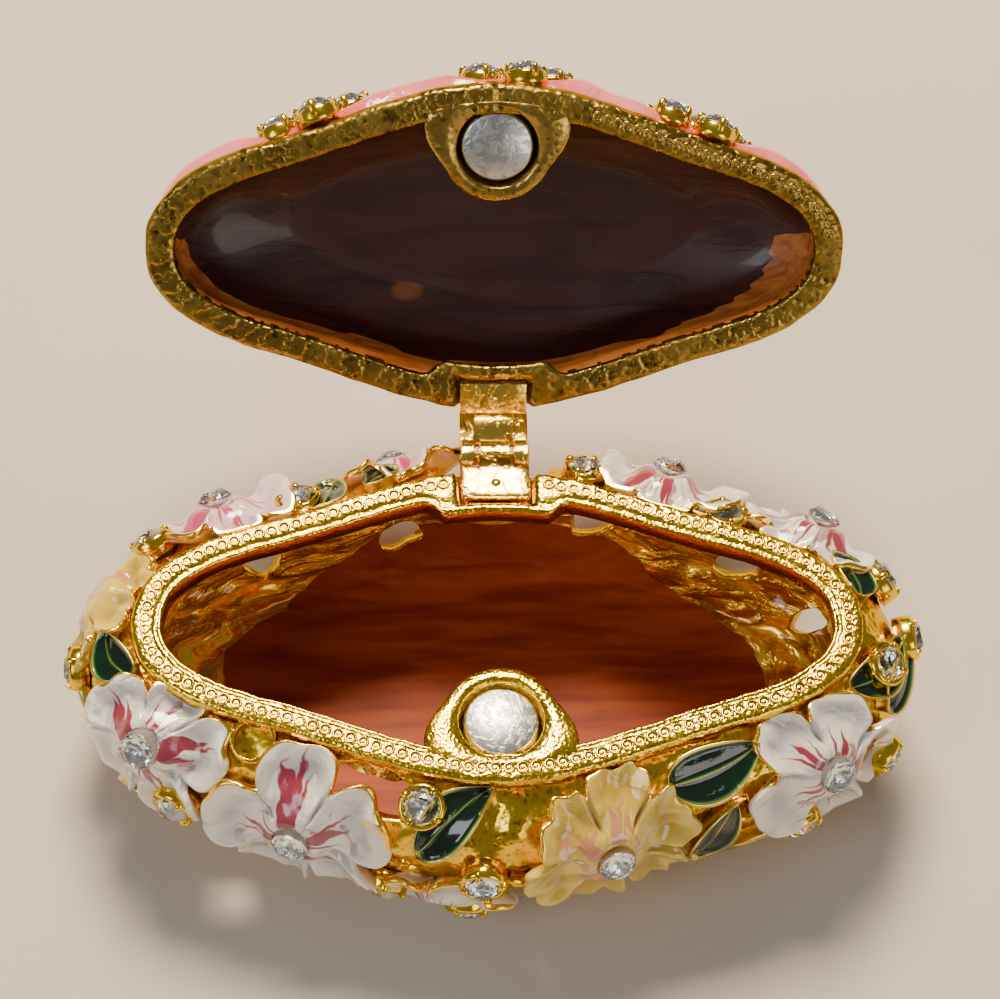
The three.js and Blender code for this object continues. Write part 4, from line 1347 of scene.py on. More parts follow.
    def _rim(self, neck: np.ndarray, wall: np.ndarray, angles: np.ndarray) -> np.ndarray:
        """The gritty rim, from the belly's neck over to the inner wall.

        Args:
            neck: The belly's last ring.
            wall: The ring of the inner wall that the rim ends on.
            angles: Angles of the points round it.

        Returns:
            Its rings, outside first.
        """
        top, low = self.belly.height, self.belly.height - self.belly.rim_height
        rows = [(0.45, low), (0.02, low + 0.35), (-0.08, top - 0.9), (0.0, top - 0.3),
                (0.14, top - 0.08), (0.4, top), (0.75, top), (1.1, top), (1.45, top),
                (1.8, top - 0.02), (1.98, top - 0.24), (2.16, top - 0.06), (2.38, top - 0.08),
                (self.rim_width, top - 0.35), (self.rim_width, top - 1.8)]
        ring = [neck, *(self.belly.mouth(inset, level, angles) for inset, level in rows), wall]
        ring = np.stack(ring)
        inset = np.array([0, *(row[0] for row in rows), self.rim_width])[:, None]
        widen = self.notch_width * rim_swell(neck)
        ring[1:-1, :, 1] -= (widen * smooth(0.6, self.rim_width, inset))[1:-1]
        grit = 0.04 * hash_noise(ring, 0.55, 11) + 0.04 * hash_noise(ring, 1.6, 12)
        weight = np.array([0, 0.5, 1, 1, 1, 1, 1, 1, 1, 1, 1, 0.5, 1, 1, 1, 0.3, 0])[:, None]
        ring[..., 2] += grit * weight * (ring[..., 2] > top - 0.6)
        swing = np.stack([np.cos(angles), np.sin(angles)], -1)[None]
        ring[..., :2] += swing * (0.10 * hash_noise(ring, 0.9, 13) * weight)[..., None]
        return self._bay(sink_notch(ring, top, -1), self.bay_front)

    @staticmethod
    def _foot(draft: Draft, low: np.ndarray) -> None:
        """The flat underside, as rings that close at the middle.

        Args:
            draft: The draft to add to.
            low: The belly's lowest ring.
        """
        shares = np.array([1.0, 0.97, 0.9, 0.6, 0.3, 0.0])
        rings = low[None] * shares[:, None, None]
        rings[..., 2] = 0.0
        draft.grid(rings, wrap=True)

    def _inside_floor(self, draft: Draft, ring: np.ndarray) -> None:
        """The floor's enamel, from the inner wall to the middle.

        Args:
            draft: The draft to add to.
            ring: The inner wall's lowest ring.
        """
        shares = np.array([1.0, 0.985, 0.97, 0.945, 0.92, 0.88, 0.84, 0.79, 0.74, 0.69, 0.64,
                           0.55, 0.4, 0.25, 0.1, 0.0])
        rings = ring[None] * shares[:, None, None]
        start = ring[:, 2]
        sink = smooth(1.0, 0.86, shares)
        rings[..., 2] = start[None] + (self.floor - start[None]) * sink[:, None]
        uneven = 0.15 * hash_noise(rings, 6.0, 21) * smooth(1.0, 0.8, shares)[:, None]
        rings[..., 2] += uneven * (shares[:, None] > 0)
        rings[-1] = np.array([0, 0, self.floor])
        draft.grid(rings, wrap=True, finish=1, marks={"floor": self._brick(rings)})

    @staticmethod
    def _brick(points: np.ndarray) -> np.ndarray:
        """Where the floor's brick enamel lies, with a scalloped edge.

        Args:
            points: Places inside the basket.

        Returns:
            From 0 on the wall to 1 on the enamel, for each place.
        """
        x, y, z = points[..., 0], points[..., 1], points[..., 2]
        scallop = 0.9 * hash_noise(points, 4.0, 23) + 0.4 * hash_noise(points, 1.6, 24)
        ends = (np.abs(x) + scallop - 23.5) / 2
        climb = 3.6 + 3.6 * smooth(20, 9, np.abs(x)) * (y > 0) + 0.5 * scallop
        return smooth(0.5, -0.5, ends) * smooth(0.5, -0.5, z - climb)

    @staticmethod
    def _painted_sheen_behind_hinge(points: np.ndarray) -> np.ndarray:
        """Where the painted sheen lies on the wall behind the hinge, from 0 to 1."""
        x, y, z = points[..., 0], points[..., 1], points[..., 2]
        return smooth(4.4, 3.2, np.abs(x - 2.2)) * (y > 0) * smooth(9.0, 10.5, z)

    def beads(self) -> bpy.types.Object:
        """The row of small punched rings along the rim.

        Returns:
            The finished piece.
        """
        r = self.bead_size
        shape = lathe_mesh("bead", [
            (0.0, -0.15), (r * 1.04, -0.15), (r * 1.02, 0.06), (r * 0.9, 0.17), (r * 0.7, 0.17),
            (r * 0.5, 0.02), (r * 0.3, 0.04), (0.0, 0.12)], 12)
        angles = self.belly.angle_of(np.linspace(0, self.belly.girth, 480, endpoint=False))
        path = self.belly.mouth(1.1, self.belly.height, angles)
        gap = (np.abs(path[:, 0]) < 4.4) & (path[:, 1] > 0)
        shift = -int(np.argmax(gap))
        mesh = path_mesh("bead_path", np.roll(path, shift, 0)[~np.roll(gap, shift)])
        piece = self.repeater.make("rim_beads", open_path(mesh), shape, self.finishes.lug,
                                   count=self.bead_count, variation=0.08)
        return settle(piece, "base", "cast_gold", "basket_body")

    def lug(self) -> bpy.types.Object:
        """The lug that holds the front magnet.

        Returns:
            The finished piece.
        """
        draft = Draft()
        Lug().add(draft, self.belly.height, -1, self.lug_front)
        mesh = draft.mesh("basket_magnet_lug")
        piece = make_piece("basket_magnet_lug", mesh, [self.finishes.rim])
        return settle(piece, "base", "cast_gold", "basket_body")


SWELL_SIDE = (6.6, 4.3)
NOTCH_SIDE = (3.42, 3.16)
NOTCH_FRONT = (11.45, 11.75)
NOTCH_DEPTH = 1.42


def rim_swell(ring: np.ndarray) -> np.ndarray:
    """How far the rim widens inward round a hinge leaf, from 0 to 1.

    Args:
        ring: Points of a ring of the closed box.

    Returns:
        One share for each point.
    """
    return smooth(*SWELL_SIDE, np.abs(ring[..., 0])) * (ring[..., 1] > 0)


def sink_notch(ring: np.ndarray, level: float, side: int) -> np.ndarray:
    """Sinks the rim's face into the notch that a hinge leaf lies in.

    Args:
        ring: Points of the rim.
        level: Height of the rim's face.
        side: -1 for the basket's rim, 1 for the lid's.

    Returns:
        The changed points.
    """
    inside = smooth(*NOTCH_SIDE, np.abs(ring[..., 0])) * smooth(*NOTCH_FRONT, ring[..., 1])
    wanted = level + side * NOTCH_DEPTH
    deeper = np.minimum(ring[..., 2], wanted) if side < 0 else np.maximum(ring[..., 2], wanted)
    ring[..., 2] += (deeper - ring[..., 2]) * inside
    return ring


def open_path(mesh: bpy.types.Mesh) -> bpy.types.Mesh:
    """Takes the longest edge, which closes it, out of a path.

    Args:
        mesh: The path.

    Returns:
        The same mesh.
    """
    body = bmesh.new()
    body.from_mesh(mesh)
    body.edges.ensure_lookup_table()
    longest = max(body.edges, key=lambda e: e.calc_length())
    bmesh.ops.delete(body, geom=[longest], context="EDGES_FACES")
    body.to_mesh(mesh)
    body.free()
    return mesh


def rounded_box(draft: Draft, low: tuple, high: tuple, edge: float) -> None:
    """A block with rounded edges between two corners.

    Args:
        draft: The draft to add to.
        low: Lowest corner.
        high: Highest corner.
        edge: Radius of the edges.
    """
    low, high = np.array(low, float), np.array(high, float)
    centre, half = (low + high) / 2, (high - low) / 2 - edge
    steps, flat_share = 9, 0.74
    a, c = np.meshgrid(*[np.linspace(-1, 1, steps)] * 2, indexing="ij")
    for axis in range(3):
        for sign in (-1, 1):
            cube = np.zeros((steps, steps, 3))
            cube[..., axis] = sign
            cube[..., (axis + 1) % 3] = a
            cube[..., (axis + 2) % 3] = c
            past = (np.abs(cube) - flat_share) / (1 - flat_share)
            outside = np.where(past > 0, np.sign(cube) * past, 0)
            ball = outside / np.maximum(np.linalg.norm(outside, axis=-1, keepdims=True), 1e-9)
            draft.grid(centre + np.clip(cube / flat_share, -1, 1) * half + ball * edge)


# The flowers and leaves.


@dataclass
class Garland:
    """The enamelled flowers, buds and leaves that are cast round the basket."""

    belly: Belly
    finishes: Finishes
    relief: float = 1.35
    petal_columns: int = 30
    leaf_rows: int = 26
    leaf_columns: int = 19

    def flower(self, draft: Draft, spot: Spot, finish: int) -> None:
        """One flower in a single fused sheet: cupped petals with creases between them.

        Args:
            draft: The draft to add to.
            spot: The flower.
            finish: Number of its enamel.
        """
        rng = np.random.default_rng(int(abs(spot.u * 10)) + 5)
        petals, plain = spot.petals, spot in BUDS
        yellow = spot.kind == "yellow"
        part = np.linspace(0, petals, self.petal_columns * petals, endpoint=False)
        number = np.floor(part).astype(int)
        local = 2 * (part - number) - 1
        edge = np.abs(local)
        size = 1 + 0.08 * rng.uniform(-1, 1, petals)
        mark = rng.uniform(0, 1, petals)
        tilt = rng.uniform(0.5, 1.3, petals)
        other = (number + np.where(local > 0, 1, -1)) % petals
        blend = 0.5 * edge**5
        wide = size[number] * (1 - blend) + size[other] * blend
        angle = spot.turn - 2 * math.pi * part / petals
        notch = (0.30 if yellow else 0.40) * edge ** (3.0 if yellow else 3.4)
        dent = (0.09 if yellow else 0.05) * np.exp(-(((local - 0.15) / 0.28) ** 2))
        frill = (0.035 if yellow else 0.015) * np.sin(3.5 * math.pi * local + 6 * mark[number])
        outline = spot.radius * 1.03 * wide * (1 - notch - dent + frill) - 0.24
        heart = 1.54 if not plain else 0.2
        t = np.array([0, 0.03, 0.07, 0.12, 0.18, 0.25, 0.32, 0.4, 0.48, 0.56, 0.64, 0.72, 0.79,
                      0.85, 0.9, 0.94, 0.97, 0.99, 1.0])[:, None]
        reach = heart + (outline - heart) * t
        away = smooth(1.9, 3.5, reach)
        lip = 0.42 * smooth(0.55, 1.0, t) * tilt[number]
        raised = 0.34 * smooth(0.35, 0.85, edge) * smooth(0.2, 0.65, t)
        crease = -0.62 * smooth(0.86, 1.0, edge) * smooth(0.12, 0.4, t)
        pool = -0.42 * np.exp(-(((t - 0.62) / 0.22) ** 2)) * (1 - edge**2)
        lap = 0.30 * local * smooth(0.2, 0.6, t)
        ripple = (0.16 if yellow else 0.07) * np.sin(3 * math.pi * local + 5 * mark[number])
        ripple = ripple * smooth(0.4, 1, t)
        c, s = np.cos(angle), np.sin(angle)

        def lay(out: np.ndarray, height: np.ndarray = 0.0) -> np.ndarray:
            """Points of the flower at a reach and a height above the belly."""
            return self.belly.on(spot.u + out * c, spot.v + out * s, height)

        bare = lay(reach)
        lumps = 0.36 * hash_noise(bare, 2.4, 61) + 0.20 * hash_noise(bare, 1.25, 62)
        low_petal = spot.rise * self.relief * (0.62 + lip)
        petal = low_petal + raised + crease + pool + lap + ripple + lumps
        top = spot.top if not plain else spot.rise * self.relief + 0.45
        lift = top * 0.98 * (1 - away) + petal * away
        upper = smooth(-0.1, 0.55, -s)
        # The mark deep places painted shade in the petals' pools and creases.
        draft.grid(lay(reach, lift), wrap=True, finish=finish, marks={
            "along": t, "across": local, "petal": mark[number],
            "deep": smooth(0.05, 0.45, -pool - crease) * away,
            "gilt": smooth(0.965, 0.99, t) * upper})
        last = lift[-1]
        rim = [(outline, last), (outline + 0.13, last - 0.06), (outline + 0.24, last - 0.19),
               (outline + 0.29, last - 0.38), (outline + 0.25, last - 0.6),
               (outline + 0.05, last - 0.85),
               (outline - 0.35, last - 1.2), (0.62 * outline, np.full_like(last, -0.5)),
               (0.0 * outline, np.full_like(last, -0.5))]
        under = np.stack([lay(out, height) for out, height in rim])
        level = np.array([1, 1, 1, 0.9, 0.5, 0, 0, 0, 0])[:, None]
        draft.grid(under, wrap=True, finish=finish, marks={
            "along": 1.0, "across": local, "petal": mark[number], "gilt": level * upper})
        low = lift[0] - (0.85 if not plain else -0.06)
        cup = [lay(reach[0], lift[0]), lay(reach[0] - 0.02, low), lay(0 * reach[0], low)]
        draft.grid(np.stack(cup), wrap=True, finish=finish, marks={"along": 0.02, "across": 1.0})

    def flowers(self) -> bpy.types.Object:
        """All flowers and buds.

        Returns:
            The finished piece.
        """
        draft = Draft()
        enamels = {"white": 1, "yellow": 2, "blush": 3}
        for spot in FLOWERS + BUDS:
            self.flower(draft, spot, enamels[spot.kind])
        f = self.finishes
        piece = make_piece("enamel_flowers", draft.mesh("enamel_flowers"),
                           [f.gold, f.white, f.yellow, f.blush])
        return settle(piece, "base", "white_enamel", "basket_body")

    def leaves(self) -> bpy.types.Object:
        """All leaves: raised gold edges and ribs round sunken green pools.

        Returns:
            The finished piece.
        """
        draft = Draft()
        for number, leaf in enumerate(LEAVES):
            bend = 0.5 * (1 if number % 2 else -1)
            t = np.linspace(0, 1, self.leaf_rows)
            w = np.linspace(-1, 1, self.leaf_columns)
            tt, ww = np.meshgrid(t, w, indexing="ij")
            half = leaf.width * 0.66 * np.sin(math.pi * tt**0.75) ** 0.8
            along = tt * leaf.length * 1.06 - 0.2
            across = ww * half + bend * np.sin(math.pi * tt)
            rim = smooth(0.78, 0.93, np.abs(ww))
            ends = 1 - smooth(0.0, 0.1, tt) * smooth(1.0, 0.9, tt)
            rib = 1 - smooth(0.02, 0.13, np.abs(ww))
            ridge = np.maximum(np.maximum(rim, ends), 0.85 * rib)
            pool = 1 - ridge
            lift = self.relief * (0.62 + 0.35 * np.abs(ww) + 0.25 * tt) - 0.34 * pool
            c, s = math.cos(leaf.turn), math.sin(leaf.turn)

            def lay(height: np.ndarray, spread: float = 1.0) -> np.ndarray:
                """The leaf's points at a height above the belly."""
                return self.belly.on(leaf.u + along * c - spread * across * s,
                                     leaf.v + along * s + spread * across * c, height)

            top = lay(lift)
            edge = lay(lift - 0.28)
            under = lay(np.full_like(lift, -0.4), 0.9)
            draft.grid(top, marks={"pool": pool})
            draft.grid(np.stack([self._border(g) for g in (top, edge, under)]), wrap=True)
            draft.grid(under[::-1])
        piece = make_piece("enamel_leaves", draft.mesh("enamel_leaves"), [self.finishes.leaf])
        return settle(piece, "base", "green_enamel", "basket_body")

    @staticmethod
    def _border(grid: np.ndarray) -> np.ndarray:
        """The points round the border of a grid, in order."""
        return np.concatenate([grid[0, :-1], grid[:-1, -1], grid[-1, :0:-1], grid[:0:-1, 0]])


# The stones.


@dataclass
class Jewels:
    """Round cut stones on their foils, in collars with small claws."""

    finishes: Finishes
    repeater: Repeater
    radius: float = 1.5
    crown: float = 0.72
    pavilion: float = 0.75
    table: float = 0.56
    claws: int = 4

    def stone(self) -> bpy.types.Mesh:
        """A round stone: eight-sided table, star and girdle facets and a shallow back.

        Returns:
            Its mesh.
        """
        r = self.radius
        draft = Draft()

        def ring(count: int, reach: float, z: float, shift: float) -> np.ndarray:
            """One ring of corners."""
            a = 2 * math.pi * (np.arange(count) + shift) / count
            return np.stack([reach * np.cos(a), reach * np.sin(a), np.full(count, z)], -1)

        rings = (ring(8, self.table * r, self.crown, 0), ring(8, 0.8 * r, 0.6 * self.crown, 0.5),
                 ring(16, r, 0.1, 0), ring(16, r, -0.02, 0),
                 ring(8, 0.55 * r, -0.6 * self.pavilion, 0), ring(8, 0.0, -self.pavilion, 0))
        t, m, g, g2, p, q = (draft.add_points(points) for points in rings)
        faces3, faces4 = [], []
        for i in range(8):
            j, k = (i + 1) % 8, (i - 1) % 8
            faces3.append((t + i, t + j, m + i))
            faces4.append((t + i, m + i, g + 2 * i, m + k))
            faces3.append((m + i, g + 2 * i + 1, g + 2 * i))
            faces3.append((m + i, g + (2 * i + 2) % 16, g + 2 * i + 1))
            faces3.append((p + i, g2 + 2 * i, g2 + 2 * i + 1))
            faces4.append((p + i, g2 + 2 * i + 1, g2 + (2 * i + 2) % 16, p + j))
            faces3.append((q, p + j, p + i))
        for i in range(16):
            j = (i + 1) % 16
            faces4.append((g + i, g + j, g2 + j, g2 + i))
        draft.add_faces(np.array([tuple(range(t, t + 8))]))
        draft.add_faces(np.array(faces3))
        draft.add_faces(np.array(faces4))
        return draft.mesh("stone")

    def collar(self, width: float, lip: float) -> bpy.types.Mesh:
        """A turned collar round a stone's girdle.

        Args:
            width: How far it stands out round the stone.
            lip: How high it reaches over the girdle.

        Returns:
            Its mesh.
        """
        r, w = self.radius, width
        return lathe_mesh("collar", [
            (r + 0.03, -1.5), (r + w, -1.5), (r + w + 0.05, lip - 0.8), (r + w, lip - 0.25),
            (r + 0.7 * w, lip - 0.04), (r + 0.25 * w, lip), (r + 0.03, lip - 0.05),
            (r + 0.03, -1.5)], 24)

    def foil(self) -> bpy.types.Mesh:
        """The silvered cup behind a stone."""
        r, d = self.radius, self.pavilion
        return lathe_mesh("foil", [
            (0.0, -d - 0.04), (0.55 * r, -0.6 * d - 0.05), (r + 0.02, -0.05), (r + 0.02, -0.12),
            (0.55 * r, -0.6 * d - 0.15), (0.0, -d - 0.15)], 16)

    def claw(self) -> bpy.types.Mesh:
        """A small rounded claw that bends over the girdle beside its own frame.

        Returns:
            Its mesh.
        """
        draft = Draft()
        line = ((0.42, -0.9, 0.30), (0.44, -0.2, 0.28), (0.40, 0.2, 0.26), (0.2, 0.42, 0.24),
                (-0.08, 0.44, 0.18), (-0.16, 0.38, 0.02))
        around = np.linspace(0, 2 * math.pi, 8, endpoint=False)
        c, s = np.cos(around), np.sin(around)
        rings = [np.stack([x + w * 0.5 * c, w * s, z + w * 0.4 * c], -1) for x, z, w in line]
        first, last = (rings[end].mean(0, keepdims=True).repeat(8, 0) for end in (0, -1))
        draft.grid(np.stack([first, *rings, last]), wrap=True)
        return draft.mesh("claw")

    def set_stones(self, name: str, body: str, settings: list[Matrix], nodes: list[str],
                   carrier: str, collared: list[Matrix], width: float, lip: float) -> None:
        """Sets a cluster of stones with collars, foils and claws.

        Args:
            name: Stem of the pieces' names.
            body: The body that they ride on.
            settings: Frame of each stone's girdle.
            nodes: The stones' solids.
            carrier: The solid that the collars stand on.
            collared: Frames of every collar, the empty one's too.
            width: How far the collars stand out round the stones.
            lip: How high the collars reach over the girdles.
        """
        f = self.finishes
        claws = []
        for number, place in enumerate(p for p in settings if p in collared):
            for k in range(self.claws):
                turn = 2 * math.pi * (k + 0.13 * (number % 4)) / self.claws
                spin = Matrix.Rotation(turn, 4, "Z")
                claws.append(place @ spin @ Matrix.Translation((self.radius - 0.12, 0, 0)))
        for kind, places, shape, finish, slot, solids, varied in (
                ("stones", settings, self.stone(), f.stone, "crystal", nodes, 0.0),
                ("foils", settings, self.foil(), f.foil, "crystal", nodes, 0.0),
                ("collars", collared, self.collar(width, lip), f.lug, "cast_gold", [carrier], 0.0),
                ("claws", claws, self.claw(), f.lug, "cast_gold", [carrier], 0.12)):
            made = self.repeater.make(f"{name}_{kind}", carrier_mesh("places", places), shape,
                                      finish, variation=varied, flat=kind == "stones")
            settle(made, body, slot, *solids)


# The lid.


@dataclass
class Lid:
    """The domed lid, made closed and then turned open about the hinge."""

    belly: Belly
    finishes: Finishes
    repeater: Repeater
    base: float = 19.4
    share: float = 0.99
    rim_height: float = 1.6
    height: float = 11.0
    wall: float = 1.5
    rim_width: float = 2.5
    columns: int = 300
    hinge_y: float = 17.65
    hinge_z: float = 16.0
    open_angle: float = 123.0
    dish: float = 5.35
    sunk: float = 0.66
    blend: float = 1.4
    notch_width: float = 1.6
    swollen: float = 0.9
    lug_front: float = -13.2
    bead_count: int = 27
    rows: tuple = ((0.0, 0.965, 0.95), (0.3, 0.975, 0.945), (0.65, 0.87, 0.82), (0.9, 0.64, 0.56),
                   (1.0, 0.34, 0.26), (1.02, 0.0, 0.0))
    rosettes: tuple = ((-15.59, -9.77, 5.72, 64, -22), (1.4, -13.27, 6.1, 64, 0),
                       (17.11, -9.26, 5.72, 64, 22))
    singles: tuple = ((-8.14, 6.3, 10.29, -24, -8), (10.16, 6.1, 10.18, -24, 10))
    stone_circle: float = 3.35

    def opened(self) -> Matrix:
        """The turn that opens the closed lid, in millimetres."""
        pivot = Matrix.Translation((0, self.hinge_y, self.hinge_z))
        return pivot @ Matrix.Rotation(-math.radians(self.open_angle), 4, "X") @ pivot.inverted()

    def seat(self, place: tuple) -> Matrix:
        """The frame of a rosette or a single setting on the closed lid.

        Args:
            place: Its x, y, height above the rim, lean and turn.

        Returns:
            The frame, in millimetres.
        """
        x, y, z, lean, turn = place
        facing = Matrix.Rotation(math.radians(turn), 4, "Z")
        facing = facing @ Matrix.Rotation(math.radians(lean), 4, "X")
        return Matrix.Translation((x, y, self.base + z)) @ facing

    def _ring(self, along: np.ndarray, across: np.ndarray, inset: float, z: np.ndarray,
              angles: np.ndarray) -> np.ndarray:
        """A ring of the lid's oval.

        Args:
            along: Share of its length.
            across: Share of its depth.
            inset: Millimetres inward.
            z: The height.
            angles: Angles of the points round it.

        Returns:
            One point for each angle.
        """
        length = self.share * self.belly.mouth_length / 2
        depth = self.share * self.belly.mouth_depth / 2
        swell = self.share * self.belly.swell
        return self.belly.oval(angles, np.maximum(length * along - inset, 0),
                               np.maximum(depth * across - inset, 0), swell * across, z)

    def _raise_bosses(self, points: np.ndarray) -> tuple[np.ndarray, np.ndarray]:
        """Raises the glaze smoothly under the rosettes.

        Args:
            points: Points of the dome.

        Returns:
            The raised points, and how near each is to a rosette.
        """
        near = np.zeros(points.shape[:-1])
        for place in self.rosettes:
            seat = self.seat(place)
            local = turned(points, seat.inverted())
            reach = np.hypot(local[..., 0], local[..., 1])
            fall = 2.9 * smooth(self.dish + 0.2, self.dish + 3.8, reach)
            gap = -self.sunk - fall - local[..., 2]
            k = self.blend
            lift = np.where(gap > k, gap, np.where(gap < -k, 0, (gap + k) ** 2 / (4 * k)))
            fade = smooth(self.dish + 4.4, self.dish + 2.2, reach) * (local[..., 2] > -7)
            local[..., 2] += lift * fade
            points = turned(local, seat)
            near = np.maximum(near, smooth(self.dish + 2.2, self.dish - 1.6, reach) * (gap > -2.5))
        return points, near

    def casting(self) -> bpy.types.Object:
        """The dome, the rim and the hollow as one closed casting.

        Returns:
            The finished piece.
        """
        draft = Draft()
        u = np.linspace(0, self.belly.girth, self.columns, endpoint=False)
        angles = self.belly.angle_of(u)
        levels = np.linspace(1, 0, 40)
        row = catmull(np.array(self.rows), levels)
        z = self.base + self.rim_height + row[:, 0] * (self.height - self.rim_height)
        dome = np.stack([self._ring(r[1], r[2], 0.0, h, angles) for r, h in zip(row, z)])
        dome[0] = dome[0].mean(0)
        raised, near = self._raise_bosses(dome)
        dome += (raised - dome) * smooth(0.0, 0.07, levels)[:, None, None]
        swell = smooth(0.02, 0.16, levels) * smooth(0.62, 0.3, levels)
        ahead = smooth(2.0, -6.0, dome[..., 1]) * (1 - near)
        dome[..., 1] -= (self.swollen * swell)[:, None] * ahead
        soft = 0.10 * hash_noise(dome, 5.0, 41) * smooth(0.0, 0.1, levels)[:, None]
        dome[1:, :, 2] += soft[1:]
        draft.grid(dome, wrap=True, marks={"near": near})

        base, rim = self.base, self.rim_height
        edge = [(0.9, rim), (0.35, rim), (0.05, rim - 0.2), (0.0, rim - 0.6), (0.0, 0.5),
                (0.1, 0.15), (0.4, 0.0), (0.9, 0.0), (1.4, 0.0), (1.9, 0.0), (2.3, 0.04),
                (2.48, 0.2), (self.rim_width, 0.7)]
        ring = np.stack([dome[-1], *(self._ring(1, 1, inset, base + up, angles)
                                     for inset, up in edge)])
        widen = self.notch_width * rim_swell(ring[0])
        inset = np.array([0, *(row[0] if row[1] < 1 else 0 for row in edge)])[:, None]
        ring[..., 1] -= widen * smooth(0.6, self.rim_width, inset)
        weight = np.array([0, 0.2, 1, 1, 1, 1, 1, 1, 1, 1, 1, 1, 0.5, 0])[:, None]
        grit = 0.07 * hash_noise(ring, 0.9, 43) + 0.05 * hash_noise(ring, 2.5, 44)
        ring[..., 2] += grit * weight
        swing = np.stack([np.cos(angles), np.sin(angles)], -1)[None]
        ring[..., :2] += swing * (0.12 * hash_noise(ring, 1.3, 45) * weight)[..., None]
        ring = sink_notch(np.maximum(ring, np.array([-99, -99, base - 0.05])), base, 1)
        draft.grid(ring, wrap=True, finish=1, marks={"run": u})

        hollow, bare = self._hollow(ring[-1], angles)
        draft.grid(hollow, wrap=True, finish=2, marks={"bare": bare})
        mesh = draft.mesh("lid_casting")
        mesh.transform(metres(self.opened()))
        f = self.finishes
        piece = make_piece("lid_casting", mesh, [f.pink, f.lid_rim, f.lid_inner])
        return settle(piece, "lid", "pink_enamel", "lid_shell")

    def _hollow(self, start: np.ndarray, angles: np.ndarray) -> tuple[np.ndarray, np.ndarray]:
        """The lid's hollow, from its rim to the middle of its ceiling.

        Args:
            start: The rim's last ring.
            angles: Angles of the points round it.

        Returns:
            Its points, and where the enamel takes its lit orange rather than its shaded maroon.
        """
        base, rim = self.base, self.rim_height
        inner_rows = np.array(self.rows)[1:4]
        hollow = [start, self._ring(1, 1, self.rim_width, base + rim, angles)]
        for share in np.linspace(0, 1, 15):
            up, along, across = catmull(inner_rows, np.array(share))
            level = base + rim + up * (self.height - rim) - self.wall * up
            hollow.append(self._ring(along, across, self.wall, level, angles))
        last = hollow[-1]
        centre = last.mean(0)
        for share in (0.85, 0.65, 0.4, 0.2, 0.0):
            ceiling = centre + (last - centre) * share
            ceiling[:, 2] += 0.25 * (1 - share**2)
            hollow.append(ceiling)
        hollow = np.stack(hollow)
        rough = 0.16 * hash_noise(hollow, 4.0, 46)
        rough[:2] = 0
        rough[-1] = 0
        hollow[..., 2] += rough
        x, y, z = hollow[..., 0], hollow[..., 1], hollow[..., 2]
        # Painted light: the lit orange runs along the wall, higher at the back and towards the +x
        # end, and in one soft blot on the ceiling.
        depth = z - base + 0.9 * hash_noise(hollow, 5.0, 47)
        behind = smooth(-2.0, 1.0, y) * 4.6 + 2.4 * smooth(18, 26, x)
        blot = np.exp(-(((x + 7.5) / 3.2) ** 2) - ((y - 6.4) / 2.0) ** 2)
        bare = np.maximum(smooth(0.15, -0.15, depth - behind), 0.47 * smooth(0.1, 0.95, blot))
        return hollow, bare

    def fittings(self) -> None:
        """The magnet lug and the punched rings on the rim."""
        draft = Draft()
        Lug().add(draft, self.base, 1, self.lug_front)
        mesh = draft.mesh("lid_magnet_lug")
        mesh.transform(metres(self.opened()))
        piece = make_piece("lid_magnet_lug", mesh, [self.finishes.lid_lug])
        settle(piece, "lid", "cast_gold", "lid_shell")
        shape = lathe_mesh("lid_bead", [
            (0.0, -0.15), (0.52, -0.15), (0.5, 0.06), (0.43, 0.14), (0.33, 0.13), (0.24, 0.0),
            (0.12, 0.02), (0.0, 0.06)], 12)
        steps = 120
        angles = np.linspace(math.radians(-76), math.radians(-8), steps)
        path = self._ring(1, 1, 1.2, self.base, angles)
        mesh = open_path(path_mesh("lid_bead_path", path))
        turn = np.tile(np.array([math.pi, 0, 0], np.float32), steps)
        mesh.attributes["turn"].data.foreach_set("vector", turn)
        piece = self.repeater.make("lid_rim_beads", mesh, shape, self.finishes.lid_lug,
                                   count=self.bead_count, variation=0.08)
        piece.data.transform(metres(self.opened()))
        settle(piece, "lid", "cast_gold", "lid_shell")

    def settings(self) -> list[Matrix]:
        """Where the stones of the rosettes and the single ones sit.

        Returns:
            The frames of their girdles on the open lid, in millimetres.
        """
        opened, made = self.opened(), []
        for place in self.rosettes:
            for i in range(6):
                angle, reach = 2 * math.pi * i / 5, (self.stone_circle if i < 5 else 0.0)
                spot = Matrix.Translation((reach * math.cos(angle), reach * math.sin(angle), 0.3))
                made.append(opened @ self.seat(place) @ spot)
        for place in self.singles:
            made.append(opened @ self.seat(place) @ Matrix.Translation((0, 0, 1.1)))
        return made


def metres(matrix: Matrix) -> Matrix:
    """A matrix in millimetres made to move points in metres.

    Args:
        matrix: The matrix.

    Returns:
        A copy with its move in metres.
    """
    made = matrix.copy()
    made.translation = matrix.translation * MM
    return made


# The hinge and the catch.


